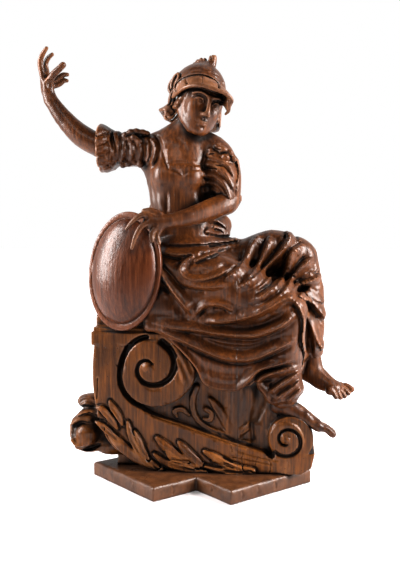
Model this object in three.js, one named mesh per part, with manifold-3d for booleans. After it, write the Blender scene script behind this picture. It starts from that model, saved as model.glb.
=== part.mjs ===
// A carved wooden ship figurehead: a helmeted woman seated on a scroll console, with an oval shield,
// on a low plinth of two overlapping squares. Millimetres, +Z up, +X to the side her legs hang,
// -Y to the side she faces. The origin is the middle of the plinth's underside.
import * as THREE from 'three';
import { mergeVertices } from 'three/addons/utils/BufferGeometryUtils.js';
import Module from 'manifold-3d';

const wasm = await Module();
wasm.setup();

// ---- driving dimensions ----
const CLEARANCE = 0.3;             // air left between pieces that rest on each other

const PLINTH_REACH = 212;          // each square's corner from its own centre
const PLINTH_OFFSET = 103;         // each square's centre from the middle, along X
const PLINTH_HEIGHT = 40;
const PLINTH_EDGE = 7;             // rounding of the upper arrises
const CARVING_SET = 10;            // the carving stands this far behind the plinth's middle

const SCROLL_MID = 17;             // middle plane of the console, along Y
const BAND_HALF = 95;              // half thickness of the side bands
const VOLUTE_HALF = 102;           // the volutes stand proud of the bands
const PANEL_HALF = 64;             // the sunk panel between the bands
const SCROLL_FOOT = PLINTH_HEIGHT + CLEARANCE;
const EYE = [-141, 334];           // middle of the large volute (x, z)
const SMALL_EYE = [257, 141];      // middle of the small volute
const SMALL_RADIUS = 63;
const SEAT_TOP = 432;              // top of the cap moulding
const SEAT_MID = 40;               // middle plane of the squared block behind the shield
const SEAT_HALF = 70;
const FOOT_BLOCK_HALF = PANEL_HALF - 12;

const SHIELD_WIDTH = 230;
const SHIELD_HEIGHT = 332;
const SHIELD_DOME = 40;
const SHIELD_RIM = 9;              // thickness at the edge
const SHIELD_PLACE = [-205, -86, 603];
const SHIELD_TURN = [-4, 5, -19];  // degrees about X, Y, Z

const HEAD_HEIGHT = 184;           // chin to crown
const HEAD_PLACE = [-2, -14, 1078];
const HEAD_TURN = [14, 12, 34];
const HELMET_PLACE = [0, -16, 1076];
const HELMET_TURN = [13, 10, 22];  // the helmet sits a little straighter than the face
const FRONT_CLOTH_MID = -72;       // middle planes of the hanging cloth, in front and behind
const BACK_CLOTH_MID = 92;
const FINGER = 9;                  // radius of a finger at its root
const DEG = Math.PI / 180;

// ---- helpers: points, solids and lofts ----
const at = ([x, y, z]) => new THREE.Vector3(x, y, z);
const mix = (a, b, t) => a + (b - a) * t;

function solid(geometry) {
  let g = geometry.clone();
  g.deleteAttribute('normal');
  g.deleteAttribute('uv');
  g = mergeVertices(g, 1e-3);
  const index = Array.from(g.index.array);
  const kept = [];
  for (let i = 0; i < index.length; i += 3) {
    const [a, b, c] = index.slice(i, i + 3);
    if (a !== b && b !== c && c !== a) kept.push(a, b, c);
  }
  const made = new wasm.Manifold(new wasm.Mesh({
    numProp: 3,
    vertProperties: Float32Array.from(g.attributes.position.array),
    triVerts: Uint32Array.from(kept),
  }));
  if (made.volume() > 0) return made;
  return new wasm.Manifold(new wasm.Mesh({
    numProp: 3,
    vertProperties: Float32Array.from(g.attributes.position.array),
    triVerts: Uint32Array.from(kept.reverse()),
  }));
}

const join = (parts) => parts.flat(Infinity).reduce((all, next) => all.add(next));

// A closed skin through a stack of rings, each ring a list of points, with a point at each end.
function skin(rings, first, last) {
  const sides = rings[0].length;
  const points = [...rings.flat(), first, last];
  const faces = [];
  for (let r = 0; r < rings.length - 1; r++) {
    for (let s = 0; s < sides; s++) {
      const a = r * sides + s;
      const b = r * sides + (s + 1) % sides;
      faces.push(a, b, a + sides, b, b + sides, a + sides);
    }
  }
  const top = (rings.length - 1) * sides;
  for (let s = 0; s < sides; s++) {
    faces.push(points.length - 2, (s + 1) % sides, s);
    faces.push(points.length - 1, top + s, top + (s + 1) % sides);
  }
  const g = new THREE.BufferGeometry();
  const numbers = points.flatMap((p) => p.toArray());
  g.setAttribute('position', new THREE.Float32BufferAttribute(numbers, 3));
  g.setIndex(faces);
  return solid(g);
}

// A limb, a fold or a finger: stations are [x, y, z, radius, depth radius]. The depth radius lies
// along `lay`, the other radius across it. Both ends are rounded.
function limb(stations, { sides = 8, steps = 1, lay = [0, 1, 0] } = {}) {
  const path = new THREE.CatmullRomCurve3(stations.map(at), false, 'centripetal');
  const sizes = stations.map((s) => new THREE.Vector3(s[3], s[4] ?? s[3], 0));
  const size = new THREE.CatmullRomCurve3(sizes, false, 'chordal');
  const count = (stations.length - 1) * steps;
  const rings = [];
  const ring = (centre, along, a, b) => {
    const depth = at(lay).addScaledVector(along, -along.dot(at(lay))).normalize();
    const across = new THREE.Vector3().crossVectors(depth, along);
    return Array.from({ length: sides }, (_, s) => {
      const angle = (s / sides) * 2 * Math.PI;
      const sideways = centre.clone().addScaledVector(across, a * Math.cos(angle));
      return sideways.addScaledVector(depth, b * Math.sin(angle));
    });
  };
  for (let i = 0; i <= count; i++) {
    const t = i / count;
    const here = path.getPoint(t);
    const along = path.getTangent(t);
    const index = t * (stations.length - 1);
    const low = Math.min(Math.floor(index), stations.length - 2);
    const near = sizes[low].clone().lerp(sizes[low + 1], index - low);
    rings.push(ring(here, along, near.x, near.y));
    if (i === 0 || i === count) {
      const out = i === 0 ? -1 : 1;
      const tip = here.clone().addScaledVector(along, out * 0.45 * Math.min(near.x, near.y));
      const small = ring(tip, along, near.x * 0.7, near.y * 0.7);
      if (i === 0) rings.unshift(small);
      else rings.push(small);
    }
  }
  const end = (t, out) => {
    const s = t === 0 ? sizes[0] : sizes.at(-1);
    return path.getPoint(t).addScaledVector(path.getTangent(t), out * 0.62 * Math.min(s.x, s.y));
  };
  return skin(rings, end(0, -1), end(1, 1));
}

function ball(centre, radii, turn = [0, 0, 0], [around, up] = [10, 6]) {
  const g = new THREE.SphereGeometry(1, around, up);
  g.scale(...radii);
  g.applyMatrix4(place(centre, turn));
  return solid(g);
}

// Turns are degrees about X, then Y, then Z.
function place(position, turn = [0, 0, 0]) {
  const e = new THREE.Euler(...turn.map((d) => d * DEG), 'ZYX');
  const spin = new THREE.Quaternion().setFromEuler(e);
  return new THREE.Matrix4().compose(at(position), spin, new THREE.Vector3(1, 1, 1));
}

const moved = (part, matrix) => part.transform(matrix.elements);

// A board cut to an outline in the X-Z plane, `half` thick each way from the console's middle plane.
function board(outline, half, middle = SCROLL_MID, edge = 0) {
  const shape = outline instanceof THREE.Shape ? outline : new THREE.Shape(outline);
  const g = new THREE.ExtrudeGeometry(shape, {
    depth: 2 * (half - edge),
    bevelEnabled: edge > 0,
    bevelSize: edge,
    bevelOffset: -edge,
    bevelThickness: edge,
    bevelSegments: 1,
  });
  g.rotateX(Math.PI / 2);
  g.translate(0, middle + half - edge, 0);
  return solid(g);
}

const flat = ([x, z]) => new THREE.Vector2(x, z);
const smooth = (points, count) => new THREE.SplineCurve(points.map(flat)).getPoints(count);
const mirrored = (part) => part.mirror([0, 1, 0]).translate([0, 2 * SCROLL_MID, 0]);

// ---- the scroll console ----
// The outer edge runs from the cap down the back, round under the foot and up into the small volute.
const OUTER_EDGE = [
  [-296, 400], [-301, 330], [-299, 262], [-284, 180], [-250, 110], [-186, 68], [-108, 48],
];
const FOOT_EDGE = [[-60, SCROLL_FOOT], [286, SCROLL_FOOT], [314, 60], [324, 102]];
const INNER_EDGE = [
  [210, 96], [131, 116], [39, 144], [-51, 174], [
    -136, 201,
  ], [-183, 238], [-211, 290], [-216, 345], [-204, 400],
];

// Radius of the large volute's outer line, against the angle turned clockwise from +X.
const VOLUTE_TURNS = [[12, 133], [90, 118], [180, 70], [270, 82], [360, 56], [450, 34], [520, 21]];

function voluteRadius(turn) {
  const next = Math.max(1, VOLUTE_TURNS.findIndex(([angle]) => angle >= turn));
  const [[a0, r0], [a1, r1]] = [VOLUTE_TURNS[next - 1], VOLUTE_TURNS[next]];
  const t = (turn - a0) / (a1 - a0);
  return mix(r0, r1, t * t * (3 - 2 * t));
}

const volutePoint = (turn, shrink = 0) => {
  const r = voluteRadius(turn) - shrink;
  return [EYE[0] + r * Math.cos(turn * DEG), EYE[1] - r * Math.sin(turn * DEG)];
};

function band() {
  const outline = [
    ...smooth(OUTER_EDGE, 8),
    ...smooth(FOOT_EDGE.slice(1), 4),
    ...smooth(INNER_EDGE, 9),
  ];
  return board(outline, BAND_HALF, SCROLL_MID, 3);
}

function panel() {
  const outline = [
    ...smooth(OUTER_EDGE.map(([x, z]) => [x + 6, z + 4]), 8),
    ...[[60, 60], [228, 96], [222, 190], [236, 300], [120, 420], [-200, 420]].map(flat),
  ];
  return board(outline, PANEL_HALF);
}

function largeVolute() {
  const turns = Array.from({ length: 16 }, (_, i) => mix(15, 356, i / 15));
  const outline = [
    ...turns.map((t) => volutePoint(t)),
    ...[30, 60, 90].map((t) => volutePoint(360 + t)),
    ...[[-128, 287], [-104, 286], [-80, 298], [-62, 324], [-18, 322]],
  ];
  const ribbon = board(outline.map(flat), VOLUTE_HALF, SCROLL_MID, 5);
  const eye = ball([EYE[0], SCROLL_MID - VOLUTE_HALF + 2, EYE[1]], [21, 14, 21]);
  return [ribbon, eye, mirrored(eye)];
}

function smallVolute() {
  const [x, z] = SMALL_EYE;
  const front = SCROLL_MID - VOLUTE_HALF;
  const circle = Array.from({ length: 18 }, (_, i) => {
    const angle = (i / 18) * 2 * Math.PI;
    return [x + SMALL_RADIUS * Math.cos(angle), z + SMALL_RADIUS * Math.sin(angle)];
  });
  const disc = board(circle.map(flat), VOLUTE_HALF - 3, SCROLL_MID, 5);
  const eye = ball([x - 10, front + 6, z - 3], [17, 12, 17]);
  const groove = limb(Array.from({ length: 7 }, (_, i) => {
    const angle = (130 - i * 66) * DEG;
    const r = mix(46, 23, i / 6);
    return [x - 12 + r * Math.cos(angle), front + 3, z - 1 + r * Math.sin(angle), 3, 11];
  }), { sides: 4 });
  return [disc.subtract(groove), eye, mirrored(eye)];
}

function cap() {
  const step = (left, right, low, high, half) => {
    return board(
      [[left, low], [right, low], [right, high], [left, high]].map(flat), half, SCROLL_MID, 2,
    );
  };
  return [
    step(-303, -60, 394, SEAT_TOP, BAND_HALF + 3),
    step(-298, -60, SEAT_TOP - 2, SEAT_TOP + 12, BAND_HALF - 4),
  ];
}

// An acanthus leaf on the bands of both sides: blunt lobes that fan out from one root, each a little
// further proud than the last.
const LOBE = [[0, 0], [0.4, -0.36], [0.84, -0.5], [1, 0], [0.84, 0.5], [0.4, 0.36]];

function leaf(root, tips, width, proud) {
  return tips.map(([x, z], i) => {
    const [dx, dz] = [x - root[0], z - root[1]];
    const share = width / Math.hypot(dx, dz);
    const outline = LOBE.map(([part, off]) => [
      root[0] + dx * part - dz * off * share,
      root[1] + dz * part + dx * off * share,
    ]);
    return board(outline.map(flat), BAND_HALF + proud + i);
  });
}

function leaves() {
  return [
    leaf([-96, 52], [[-160, 112], [-212, 152], [-258, 148], [-276, 190]], 28, 5),
    leaf([4, 54], [[-62, 116], [-130, 124], [-142, 84]], 26, 6),
    leaf([96, 54], [[22, 104], [6, 66]], 24, 5),
  ];
}

// The big leaf that rolls off the back of the console.
function rolledLeaf() {
  const rolls = [
    limb(
      [
        [-240, SCROLL_MID - 10, 112, 18, 60], [-290, SCROLL_MID - 18, 98, 15, 66],
        [-336, SCROLL_MID - 22, 98, 17, 62], [-369, SCROLL_MID - 22, 128, 20, 56],
        [-365, SCROLL_MID - 18, 170, 20, 50], [-322, SCROLL_MID - 8, 188, 16, 44],
      ],
      { sides: 8 },
    ),
    limb(
      [
        [-326, SCROLL_MID - 84, 122, 22], [-326, SCROLL_MID - 20, 126, 32],
        [-324, SCROLL_MID + 44, 122, 22],
      ],
      { lay: [0, 0, 1] },
    ),
  ];
  const buds = [
    ball([-326, SCROLL_MID + 12, 218], [46, 42, 23], [0, -20, 0], [8, 6]),
    ball([-306, SCROLL_MID + 26, 266], [18, 26, 20], [0, 0, 0], [8, 6]),
  ];
  return [...rolls, ...buds];
}

// Behind the shield a squared block carries the seat, and a foot block under the curl reaches the plinth.
function blocks() {
  const seat = [
    [-302, 430], [-302, 474], [-266, 480], [-236, 530], [-170, 580], [-60, 590], [-60, 430],
  ];
  const foot = [[-242, SCROLL_FOOT], [-40, SCROLL_FOOT], [-40, 120], [-232, 120]];
  return [
    board(seat.map(flat), SEAT_HALF, SEAT_MID, 6),
    board(foot.map(flat), FOOT_BLOCK_HALF),
  ];
}

const volutes = () => [largeVolute(), smallVolute()];
const scroll = () => join([band(), panel(), volutes(), cap(), leaves(), rolledLeaf(), blocks()]);

// ---- the figure ----
function torso() {
  return [
    limb(
      [
        [-45, 25, 600, 105, 95], [-55, 20, 680, 94, 82], [-67, 15, 760, 74, 62],
        [-66, 8, 820, 83, 66], [-66, 4, 880, 94, 70], [-61, 14, 935, 93, 58],
        [-50, 22, 968, 64, 42],
      ],
      { sides: 10 },
    ),
    limb([[-150, 20, 912, 30], [-122, 14, 862, 30]], { sides: 6 }),
    limb([[-30, 22, 974, 26], [34, 24, 946, 34]], { sides: 6 }),
    ball([-96, -48, 868], [36, 32, 36]),
    ball([-26, -50, 866], [36, 32, 36]),
    limb([[-50, 22, 955, 44], [-42, 8, 1000, 37], [-22, -4, 1045, 37]], { sides: 10 }),
  ];
}

// The head in its own frame: -Y is where she looks, and the middle is half way from chin to crown.
function head() {
  const half = HEAD_HEIGHT / 2;
  const face = [
    ball([0, 10, 0.22 * half], [62, 74, 0.72 * half], [0, 0, 0], [10, 6]),
    limb(
      [[0, -14, 0.2 * half, 54, 52], [0, -26, -0.3 * half, 48, 44], [0, -46, -0.78 * half, 24, 24]],
      { sides: 10 },
    ),
    limb([[0, -62, 0.12 * half, 6, 10], [0, -76, -0.2 * half, 10, 12]], { sides: 5 }),
    limb(
      [[-16, -64, -0.46 * half, 4], [0, -70, -0.46 * half, 7], [16, -64, -0.46 * half, 4]],
      { sides: 4, lay: [0, 0, 1] },
    ),
    ball([0, -62, -0.82 * half], [15, 14, 12], [0, 0, 0], [8, 6]),
  ];
  for (const side of [-1, 1]) {
    face.push(ball([side * 24, -54, 0.02 * half], [12, 9, 8], [0, 0, 0], [7, 4]));
    face.push(limb(
      [[side * 10, -64, 0.16 * half, 5], [side * 44, -50, 0.15 * half, 5]],
      { sides: 4, lay: [0, 0, 1] },
    ));
  }
  return join(face);
}

function helmet() {
  const dome = ball([-6, 12, 20], [78, 91, 84], [0, 0, 0], [12, 7]);
  const visor = ball([1, -34, 30], [80, 86, 9], [14, 6, 0], [12, 3]);
  const flare = [[66, 22], [82, 20], [127, -36], [122, -44], [66, -4], [66, 22]];
  const ring = new THREE.LatheGeometry(flare.map(flat), 12);
  ring.rotateX(Math.PI / 2);
  ring.translate(-2, 10, -15);
  const front = new THREE.BoxGeometry(400, 200, 200);
  front.translate(0, -64, -20);
  const side = new THREE.BoxGeometry(200, 400, 200);
  side.translate(192, 0, -20);
  const guard = solid(ring).subtract(solid(front)).subtract(solid(side));
  const ridge = limb(
    [[0, -48, 98, 7, 8], [0, 10, 112, 7, 9], [0, 60, 98, 7, 8]], { sides: 6, lay: [0, 0, 1] },
  );
  const stump = limb([[0, -44, 90, 11, 13], [0, -48, 118, 11, 14]], { sides: 6 });
  const ornament = [-1, 1].map((way) => limb(
    [[way * 72 - 9, -14, 24, 8, 8], [way * 63 - 9, -2, 62, 9, 8]],
    { sides: 5, lay: [1, 0, 0] },
  ));
  return [dome, visor, guard, ridge, stump, ornament];
}

// Fingers are lists of joints in order from the root, each tapering to its tip.
const finger = (joints, root = FINGER, sides = 5) => {
  return limb(
    joints.map(([x, y, z], i) => [x, y, z, mix(root, 0.62 * root, i / (joints.length - 1))]),
    { sides },
  );
};

function raisedArm() {
  const sleeve = limb(
    [
      [-110, 25, 944, 52], [-150, 22, 953, 46], [-166, 21, 956, 54], [-182, 19, 958, 46],
      [-202, 16, 961, 56], [-220, 14, 962, 47], [-242, 11, 959, 56], [-262, 9, 956, 44],
    ],
    { sides: 8 },
  );
  const knot = ball([-192, -34, 985], [24, 16, 20], [0, 0, 0], [8, 6]);
  const bell = [[0, 0], [46, 0], [63, 26], [70, 54], [62, 64], [44, 52], [0, 44]];
  const cuff = new THREE.LatheGeometry(bell.map(flat), 12);
  cuff.applyMatrix4(place([-252, 8, 944], [0, 0, 77]));
  const forearm = limb(
    [
      [-280, 2, 952, 33], [-346, -5, 986, 32], [-394, -12, 1034, 26],
      [-430, -18, 1086, 19, 15],
    ],
    { sides: 8 },
  );
  const palm = limb(
    [[-428, -18, 1084, 17, 15], [-437, -20, 1116, 20, 14], [-440, -22, 1146, 18, 12]], { sides: 6 },
  );
  return [
    sleeve, knot, solid(cuff), forearm, palm,
    finger([
      [-442, -26, 1140], [-451, -28, 1172], [-453, -30, 1194], [-440, -34, 1214], [-426, -38, 1230],
    ]),
    finger([
      [-436, -14, 1140], [-441, -12, 1172], [-442, -12, 1192], [-431, -14, 1207], [-418, -18, 1216],
    ]),
    finger([[-432, -8, 1138], [-408, -4, 1152], [-384, -6, 1161]], 8),
    finger([[-432, -10, 1128], [-410, -2, 1136], [-389, -4, 1146]], 7),
    finger([[-432, -32, 1140], [-406, -44, 1163], [-380, -48, 1178]], 12),
  ];
}

function loweredArm() {
  const sleeve = limb(
    [
      [28, 24, 936, 50, 48], [50, 18, 916, 49, 50], [56, 14, 900, 54, 60], [58, 8, 880, 46, 52],
      [60, 2, 858, 50, 60], [62, -2, 838, 44, 52], [68, -6, 820, 46, 56], [76, -10, 798, 32, 42],
    ],
    { sides: 8 },
  );
  const forearm = limb(
    [
      [80, -12, 800, 31], [34, -56, 774, 30], [-24, -100, 750, 25], [-74, -128, 739, 19, 16],
    ],
    { sides: 8, lay: [0, 0, 1] },
  );
  const palm = limb(
    [[-72, -126, 739, 18, 16], [-100, -134, 738, 14, 20], [-124, -140, 738, 12, 20]],
    { sides: 6, lay: [0, 0, 1] },
  );
  return [
    sleeve, forearm, palm,
    finger([[-118, -140, 750], [-142, -150, 756], [-168, -155, 739], [-186, -152, 718]]),
    finger([[-120, -144, 738], [-144, -156, 724], [-159, -160, 696], [-168, -158, 668]]),
    finger([[-104, -140, 726], [-118, -150, 706], [-112, -152, 686]], 8),
    finger([[-92, -134, 722], [-102, -142, 700], [-94, -144, 682]], 7),
  ];
}

function toes(joints, tips, root = 8) {
  return tips.map((tip, i) => {
    const from = joints[0].map((v, k) => mix(v, joints[1][k], i / (tips.length - 1)));
    return finger([from, tip], i === 0 ? root + 3 : root, 5);
  });
}

function feet() {
  return [
    limb(
      [[318, 55, 345, 25], [320, 52, 308, 32, 26], [346, 42, 282, 29, 26], [384, 24, 262, 18, 30]],
      { sides: 8 },
    ),
    ball([302, 54, 304], [22, 23, 24], [0, 0, 0], [8, 6]),
    toes(
      [[392, 44, 270], [372, 4, 262]],
      [[426, 38, 266], [413, 22, 252], [400, 8, 244], [386, -4, 243], [372, -12, 247]],
    ),
    limb(
      [[236, -46, 256, 28], [240, -46, 226, 26, 26], [274, -48, 206, 25, 25], [322, -50, 178, 15, 28]],
      { sides: 8 },
    ),
    ball([218, -44, 222], [20, 24, 22], [0, 0, 0], [8, 6]),
    toes(
      [[326, -70, 174], [322, -30, 176]],
      [[366, -74, 156], [367, -61, 158], [363, -49, 160], [355, -38, 162], [346, -30, 164]], 7,
    ),
  ];
}

// ---- the drapery ----
function skirt() {
  const nearLeg = [
    limb(
      [
        [-80, -20, 585, 95, 85], [40, -46, 562, 92, 84], [140, -60, 522, 84, 76],
        [222, -66, 498, 64, 62],
      ],
      { sides: 10 },
    ),
    limb(
      [
        [226, -62, 510, 60, 58], [232, -60, 400, 56, 52], [234, -54, 312, 52, 46],
        [238, -47, 250, 34, 30],
      ],
      { sides: 10 },
    ),
  ];
  const farLeg = [
    limb(
      [[-10, 62, 625, 84, 80], [105, 60, 628, 64, 72], [200, 58, 652, 66, 68], [262, 54, 634, 60, 60]],
      { sides: 10 },
    ),
    limb(
      [[274, 52, 632, 52, 56], [304, 52, 545, 45, 50], [312, 52, 450, 38, 42], [314, 54, 372, 34, 36]],
      { sides: 10 },
    ),
  ];
  const fall = [
    [-150, 540], [-150, 442], [-105, 436], [-64, 408], [-14, 364], [16, 326], [38, 294],
    [72, 283], [112, 280], [152, 296], [206, 340], [258, 372], [270, 520], [60, 600],
  ];
  const back = [
    [-230, 560], [-215, 440], [-120, 425], [-30, 380], [60, 300], [130, 300], [230, 350],
    [285, 420], [300, 560], [60, 640],
  ];
  const cloth = [
    board(fall.map(flat), 42, FRONT_CLOTH_MID, 10),
    board(back.map(flat), 36, BACK_CLOTH_MID, 12),
  ];
  const bunch = [
    limb([[-120, 70, 650, 40], [-20, 96, 668, 44], [42, 76, 728, 40, 42]], { sides: 10 }),
    limb([[-112, 50, 836, 20], [-146, 48, 765, 19], [-158, 50, 680, 30]], { sides: 6 }),
    ball([-110, 20, 600], [70, 95, 95]),
  ];
  return [nearLeg, farLeg, cloth, bunch];
}

// Ridges of cloth, each from the hip or seat side towards a knee, with its half thickness.
const FRONT_FOLDS = [
  [18, [-135, -48, 682], [-50, -66, 682], [30, -62, 674], [95, -40, 690], [150, 0, 712]],
  [17, [-130, -66, 655], [-45, -84, 656], [30, -84, 658], [95, -62, 670]],
  [
    13, [100, -88, 670], [25, -115, 645], [-35, -122, 628], [-42, -130, 602], [0, -134, 586],
    [60, -126, 592], [118, -104, 635],
  ],
  [14, [232, 44, 700], [192, 6, 682], [148, -55, 640], [114, -102, 598], [92, -122, 562]],
  [13, [254, 34, 682], [220, -12, 652], [180, -70, 610], [148, -108, 566], [108, -126, 530]],
  [13, [284, 20, 660], [250, -22, 626], [220, -66, 582], [190, -106, 540], [148, -124, 505]],
  [13, [312, 24, 610], [286, -14, 584], [256, -76, 548]],
  [14, [-120, -100, 592], [-85, -118, 556], [-5, -130, 550], [75, -134, 556]],
  [
    15, [-74, -118, 560], [-38, -130, 516], [10, -138, 484], [70, -138, 476], [140, -136, 482],
    [206, -130, 512], [258, -112, 548],
  ],
  [
    16, [-120, -108, 528], [-72, -124, 494], [-20, -136, 464], [48, -142, 446],
    [116, -142, 432], [182, -136, 438], [236, -122, 480],
  ],
  [
    17, [-134, -98, 474], [-76, -118, 444], [-8, -132, 410], [52, -138, 386], [106, -138, 366],
    [162, -134, 382], [216, -126, 416], [264, -112, 480],
  ],
  [
    12, [-150, -96, 438], [-104, -108, 434], [-62, -112, 408], [-12, -114, 366],
    [18, -112, 328], [40, -108, 296], [108, -106, 284], [150, -106, 298],
  ],
  [
    12, [262, -104, 545], [282, -92, 490], [284, -86, 430], [276, -84, 370], [232, -88, 322],
    [178, -88, 302],
  ],
  [11, [222, -92, 335], [196, -88, 274], [228, -88, 240], [268, -76, 268]],
  [12, [272, -40, 536], [308, -20, 480], [330, 2, 430], [334, 14, 372]],
  [12, [286, -26, 540], [324, 10, 492], [342, 30, 446], [328, 28, 408], [338, 40, 364]],
  [12, [324, 24, 600], [340, 40, 520], [344, 50, 455]],
];
const BACK_FOLDS = [
  [15, [-150, 120, 620], [-60, 142, 560], [60, 140, 520], [190, 126, 520], [280, 98, 560]],
  [15, [-190, 122, 540], [-80, 138, 480], [50, 138, 430], [180, 132, 430], [286, 104, 490]],
  [14, [-120, 110, 690], [-30, 138, 650], [90, 134, 620], [210, 112, 650]],
];

const folds = () => [...FRONT_FOLDS, ...BACK_FOLDS].map(([size, ...line]) => {
  return limb(line.map(([x, y, z], i) => {
    const thin = i === 0 || i === line.length - 1 ? 0.6 : 1;
    return [x, y, z, size * thin];
  }), { sides: 4, lay: [0, 1, 0.01] });
});

function figure() {
  const face = moved(head(), place(HEAD_PLACE, HEAD_TURN));
  const hat = moved(join(helmet()), place(HELMET_PLACE, HELMET_TURN));
  return join([torso(), face, hat, raisedArm(), loweredArm(), feet(), skirt(), folds()]);
}

// ---- the shield ----
function shieldAt(grow) {
  const inner = -SHIELD_DOME - SHIELD_RIM;
  const profile = [
    [0, -SHIELD_DOME + 14], [0.5, -SHIELD_DOME + 18], [0.86, -8], [1, 0], [1, -SHIELD_RIM],
    [0.9, -SHIELD_RIM - 3], [0.88, -SHIELD_RIM], [0.72, inner + 0.34 * SHIELD_DOME],
    [0.4, inner + 0.07 * SHIELD_DOME], [0, inner],
  ];
  const g = new THREE.LatheGeometry(profile.map(flat), 20);
  g.scale(SHIELD_WIDTH / 2, 1, SHIELD_HEIGHT / 2);
  g.scale(1 + 2 * grow / SHIELD_WIDTH, 1, 1 + 2 * grow / SHIELD_HEIGHT);
  g.applyMatrix4(place(SHIELD_PLACE, SHIELD_TURN));
  return solid(g);
}

// The space the shield and the air round it take out of the figure.
function shieldRoom() {
  const air = 2 * CLEARANCE;
  return [-1, 0, 1].map((way) => shieldAt(air).translate([0, way * air, 0]));
}

// ---- the plinth ----
// A lathe of four sides turns its profile into a square block with its corners on the axes.
function plinth() {
  const tile = (x) => {
    const profile = [
      [0, 0], [PLINTH_REACH, 0], [PLINTH_REACH, PLINTH_HEIGHT - PLINTH_EDGE],
      [PLINTH_REACH - 0.4 * PLINTH_EDGE, PLINTH_HEIGHT - 0.3 * PLINTH_EDGE],
      [PLINTH_REACH - 1.4 * PLINTH_EDGE, PLINTH_HEIGHT], [0, PLINTH_HEIGHT],
    ];
    const g = new THREE.LatheGeometry(profile.map(flat), 4);
    g.rotateX(90 * DEG);
    g.translate(x, 0, 0);
    return solid(g);
  };
  return tile(-PLINTH_OFFSET).add(tile(PLINTH_OFFSET));
}

// ---- the scene graph ----
function node(name, part, material) {
  const { numProp, vertProperties, triVerts } = part.getMesh();
  const g = new THREE.BufferGeometry();
  g.setAttribute('position', new THREE.BufferAttribute(Float32Array.from(vertProperties), numProp));
  g.setIndex(Array.from(triVerts));
  g.computeVertexNormals();
  const mesh = new THREE.Mesh(g, material);
  mesh.name = name;
  return mesh;
}

const set = (part) => part.translate([0, CARVING_SET, 0]);
const wood = (color, roughness) => new THREE.MeshStandardMaterial({ color, roughness, metalness: 0 });

const group = new THREE.Group();
group.add(
  node(
    'figure_and_scroll', set(join([scroll(), figure()]).subtract(join(shieldRoom()))),
    wood('#74431f', 0.42),
  ),
  node('shield', set(shieldAt(0)), wood('#6a3f22', 0.4)),
  node('plinth', plinth(), wood('#4c3226', 0.5)),
);

export default group;
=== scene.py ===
# %% [markdown]
# # A carved wooden ship figurehead
# A helmeted woman sits sideways on a leafy scroll console, with one arm raised and the other laid over
# an oval shield. It was cut from one glued-up block of hardwood, then stained and waxed.
# The frame is the imported solid model: it gives every size and place, and this script puts the carver's
# surface on it. The box of the frame is kept.

# %% Load the frame
import math
import bpy
import numpy as np
import openvdb
from mathutils import Euler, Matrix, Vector


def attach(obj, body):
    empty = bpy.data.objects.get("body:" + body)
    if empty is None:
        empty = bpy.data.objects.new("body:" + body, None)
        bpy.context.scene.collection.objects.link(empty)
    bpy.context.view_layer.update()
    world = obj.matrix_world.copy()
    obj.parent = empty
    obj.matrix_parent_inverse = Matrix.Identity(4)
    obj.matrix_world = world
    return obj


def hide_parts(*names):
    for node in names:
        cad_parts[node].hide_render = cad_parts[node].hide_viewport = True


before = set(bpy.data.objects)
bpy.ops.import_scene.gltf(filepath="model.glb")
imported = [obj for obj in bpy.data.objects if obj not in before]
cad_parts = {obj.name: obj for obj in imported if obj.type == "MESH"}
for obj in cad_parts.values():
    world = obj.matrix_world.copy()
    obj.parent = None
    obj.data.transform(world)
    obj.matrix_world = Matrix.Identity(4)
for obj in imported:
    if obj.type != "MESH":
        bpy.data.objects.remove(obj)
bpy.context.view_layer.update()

# %% [markdown]
# ## A block of wood that can be carved
# Real carving takes wood away and leaves soft, flowing joins, which polygons do badly. So each piece starts
# as a grid that holds, at each point, the distance to the surface in millimetres: negative in the wood,
# positive in the air. Joining two forms is then the smaller of two numbers, cutting is the larger, and a
# fold is a number taken away along a line. The grid becomes a mesh only once, at the end.

# %% The grid
FAR = 30.0                       # distances are kept no larger than this


class Grid:
    """Points a step apart, each with its distance to the surface of the wood in millimetres."""

    def __init__(self, low, high, step):
        self.low = np.array(low, float)
        self.step = step
        count = np.ceil((np.array(high, float) - self.low) / step).astype(int) + 1
        self.field = np.full(count, FAR, np.float32)

    def window(self, low, high):
        """The part of the grid between two corners, and its coordinates."""
        count = np.array(self.field.shape)
        start = np.clip(np.floor((np.array(low) - self.low) / self.step).astype(int), 0, count - 1)
        stop = np.clip(np.ceil((np.array(high) - self.low) / self.step).astype(int) + 1, start + 1, count)
        part = tuple(slice(a, b) for a, b in zip(start, stop))
        axes = [self.low[i] + self.step * np.arange(start[i], stop[i]) for i in range(3)]
        x, y, z = (axis.astype(np.float32) for axis in axes)
        return part, x[:, None, None], y[None, :, None], z[None, None, :]

    def sample(self, points):
        """Distances at points, by linear interpolation; far outside the block they are FAR."""
        place = (points - self.low) / self.step
        base = np.floor(place).astype(int)
        count = np.array(self.field.shape)
        inside = np.all((base >= 0) & (base < count - 1), axis=1)
        result = np.full(len(points), FAR, np.float32)
        base, rest = base[inside], (place[inside] - base[inside]).astype(np.float32)
        total = 0
        for corner in np.ndindex(2, 2, 2):
            weight = np.prod(np.where(corner, rest, 1 - rest), axis=1)
            i, j, k = (base + corner).T
            total = total + weight * self.field[i, j, k]
        result[inside] = total
        return result


print("a 2.5 mm grid over the whole carving would hold", round(0.93 * 0.4 * 1.25 / 2.5e-3 ** 3 / 1e6),
      "million points")
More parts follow.
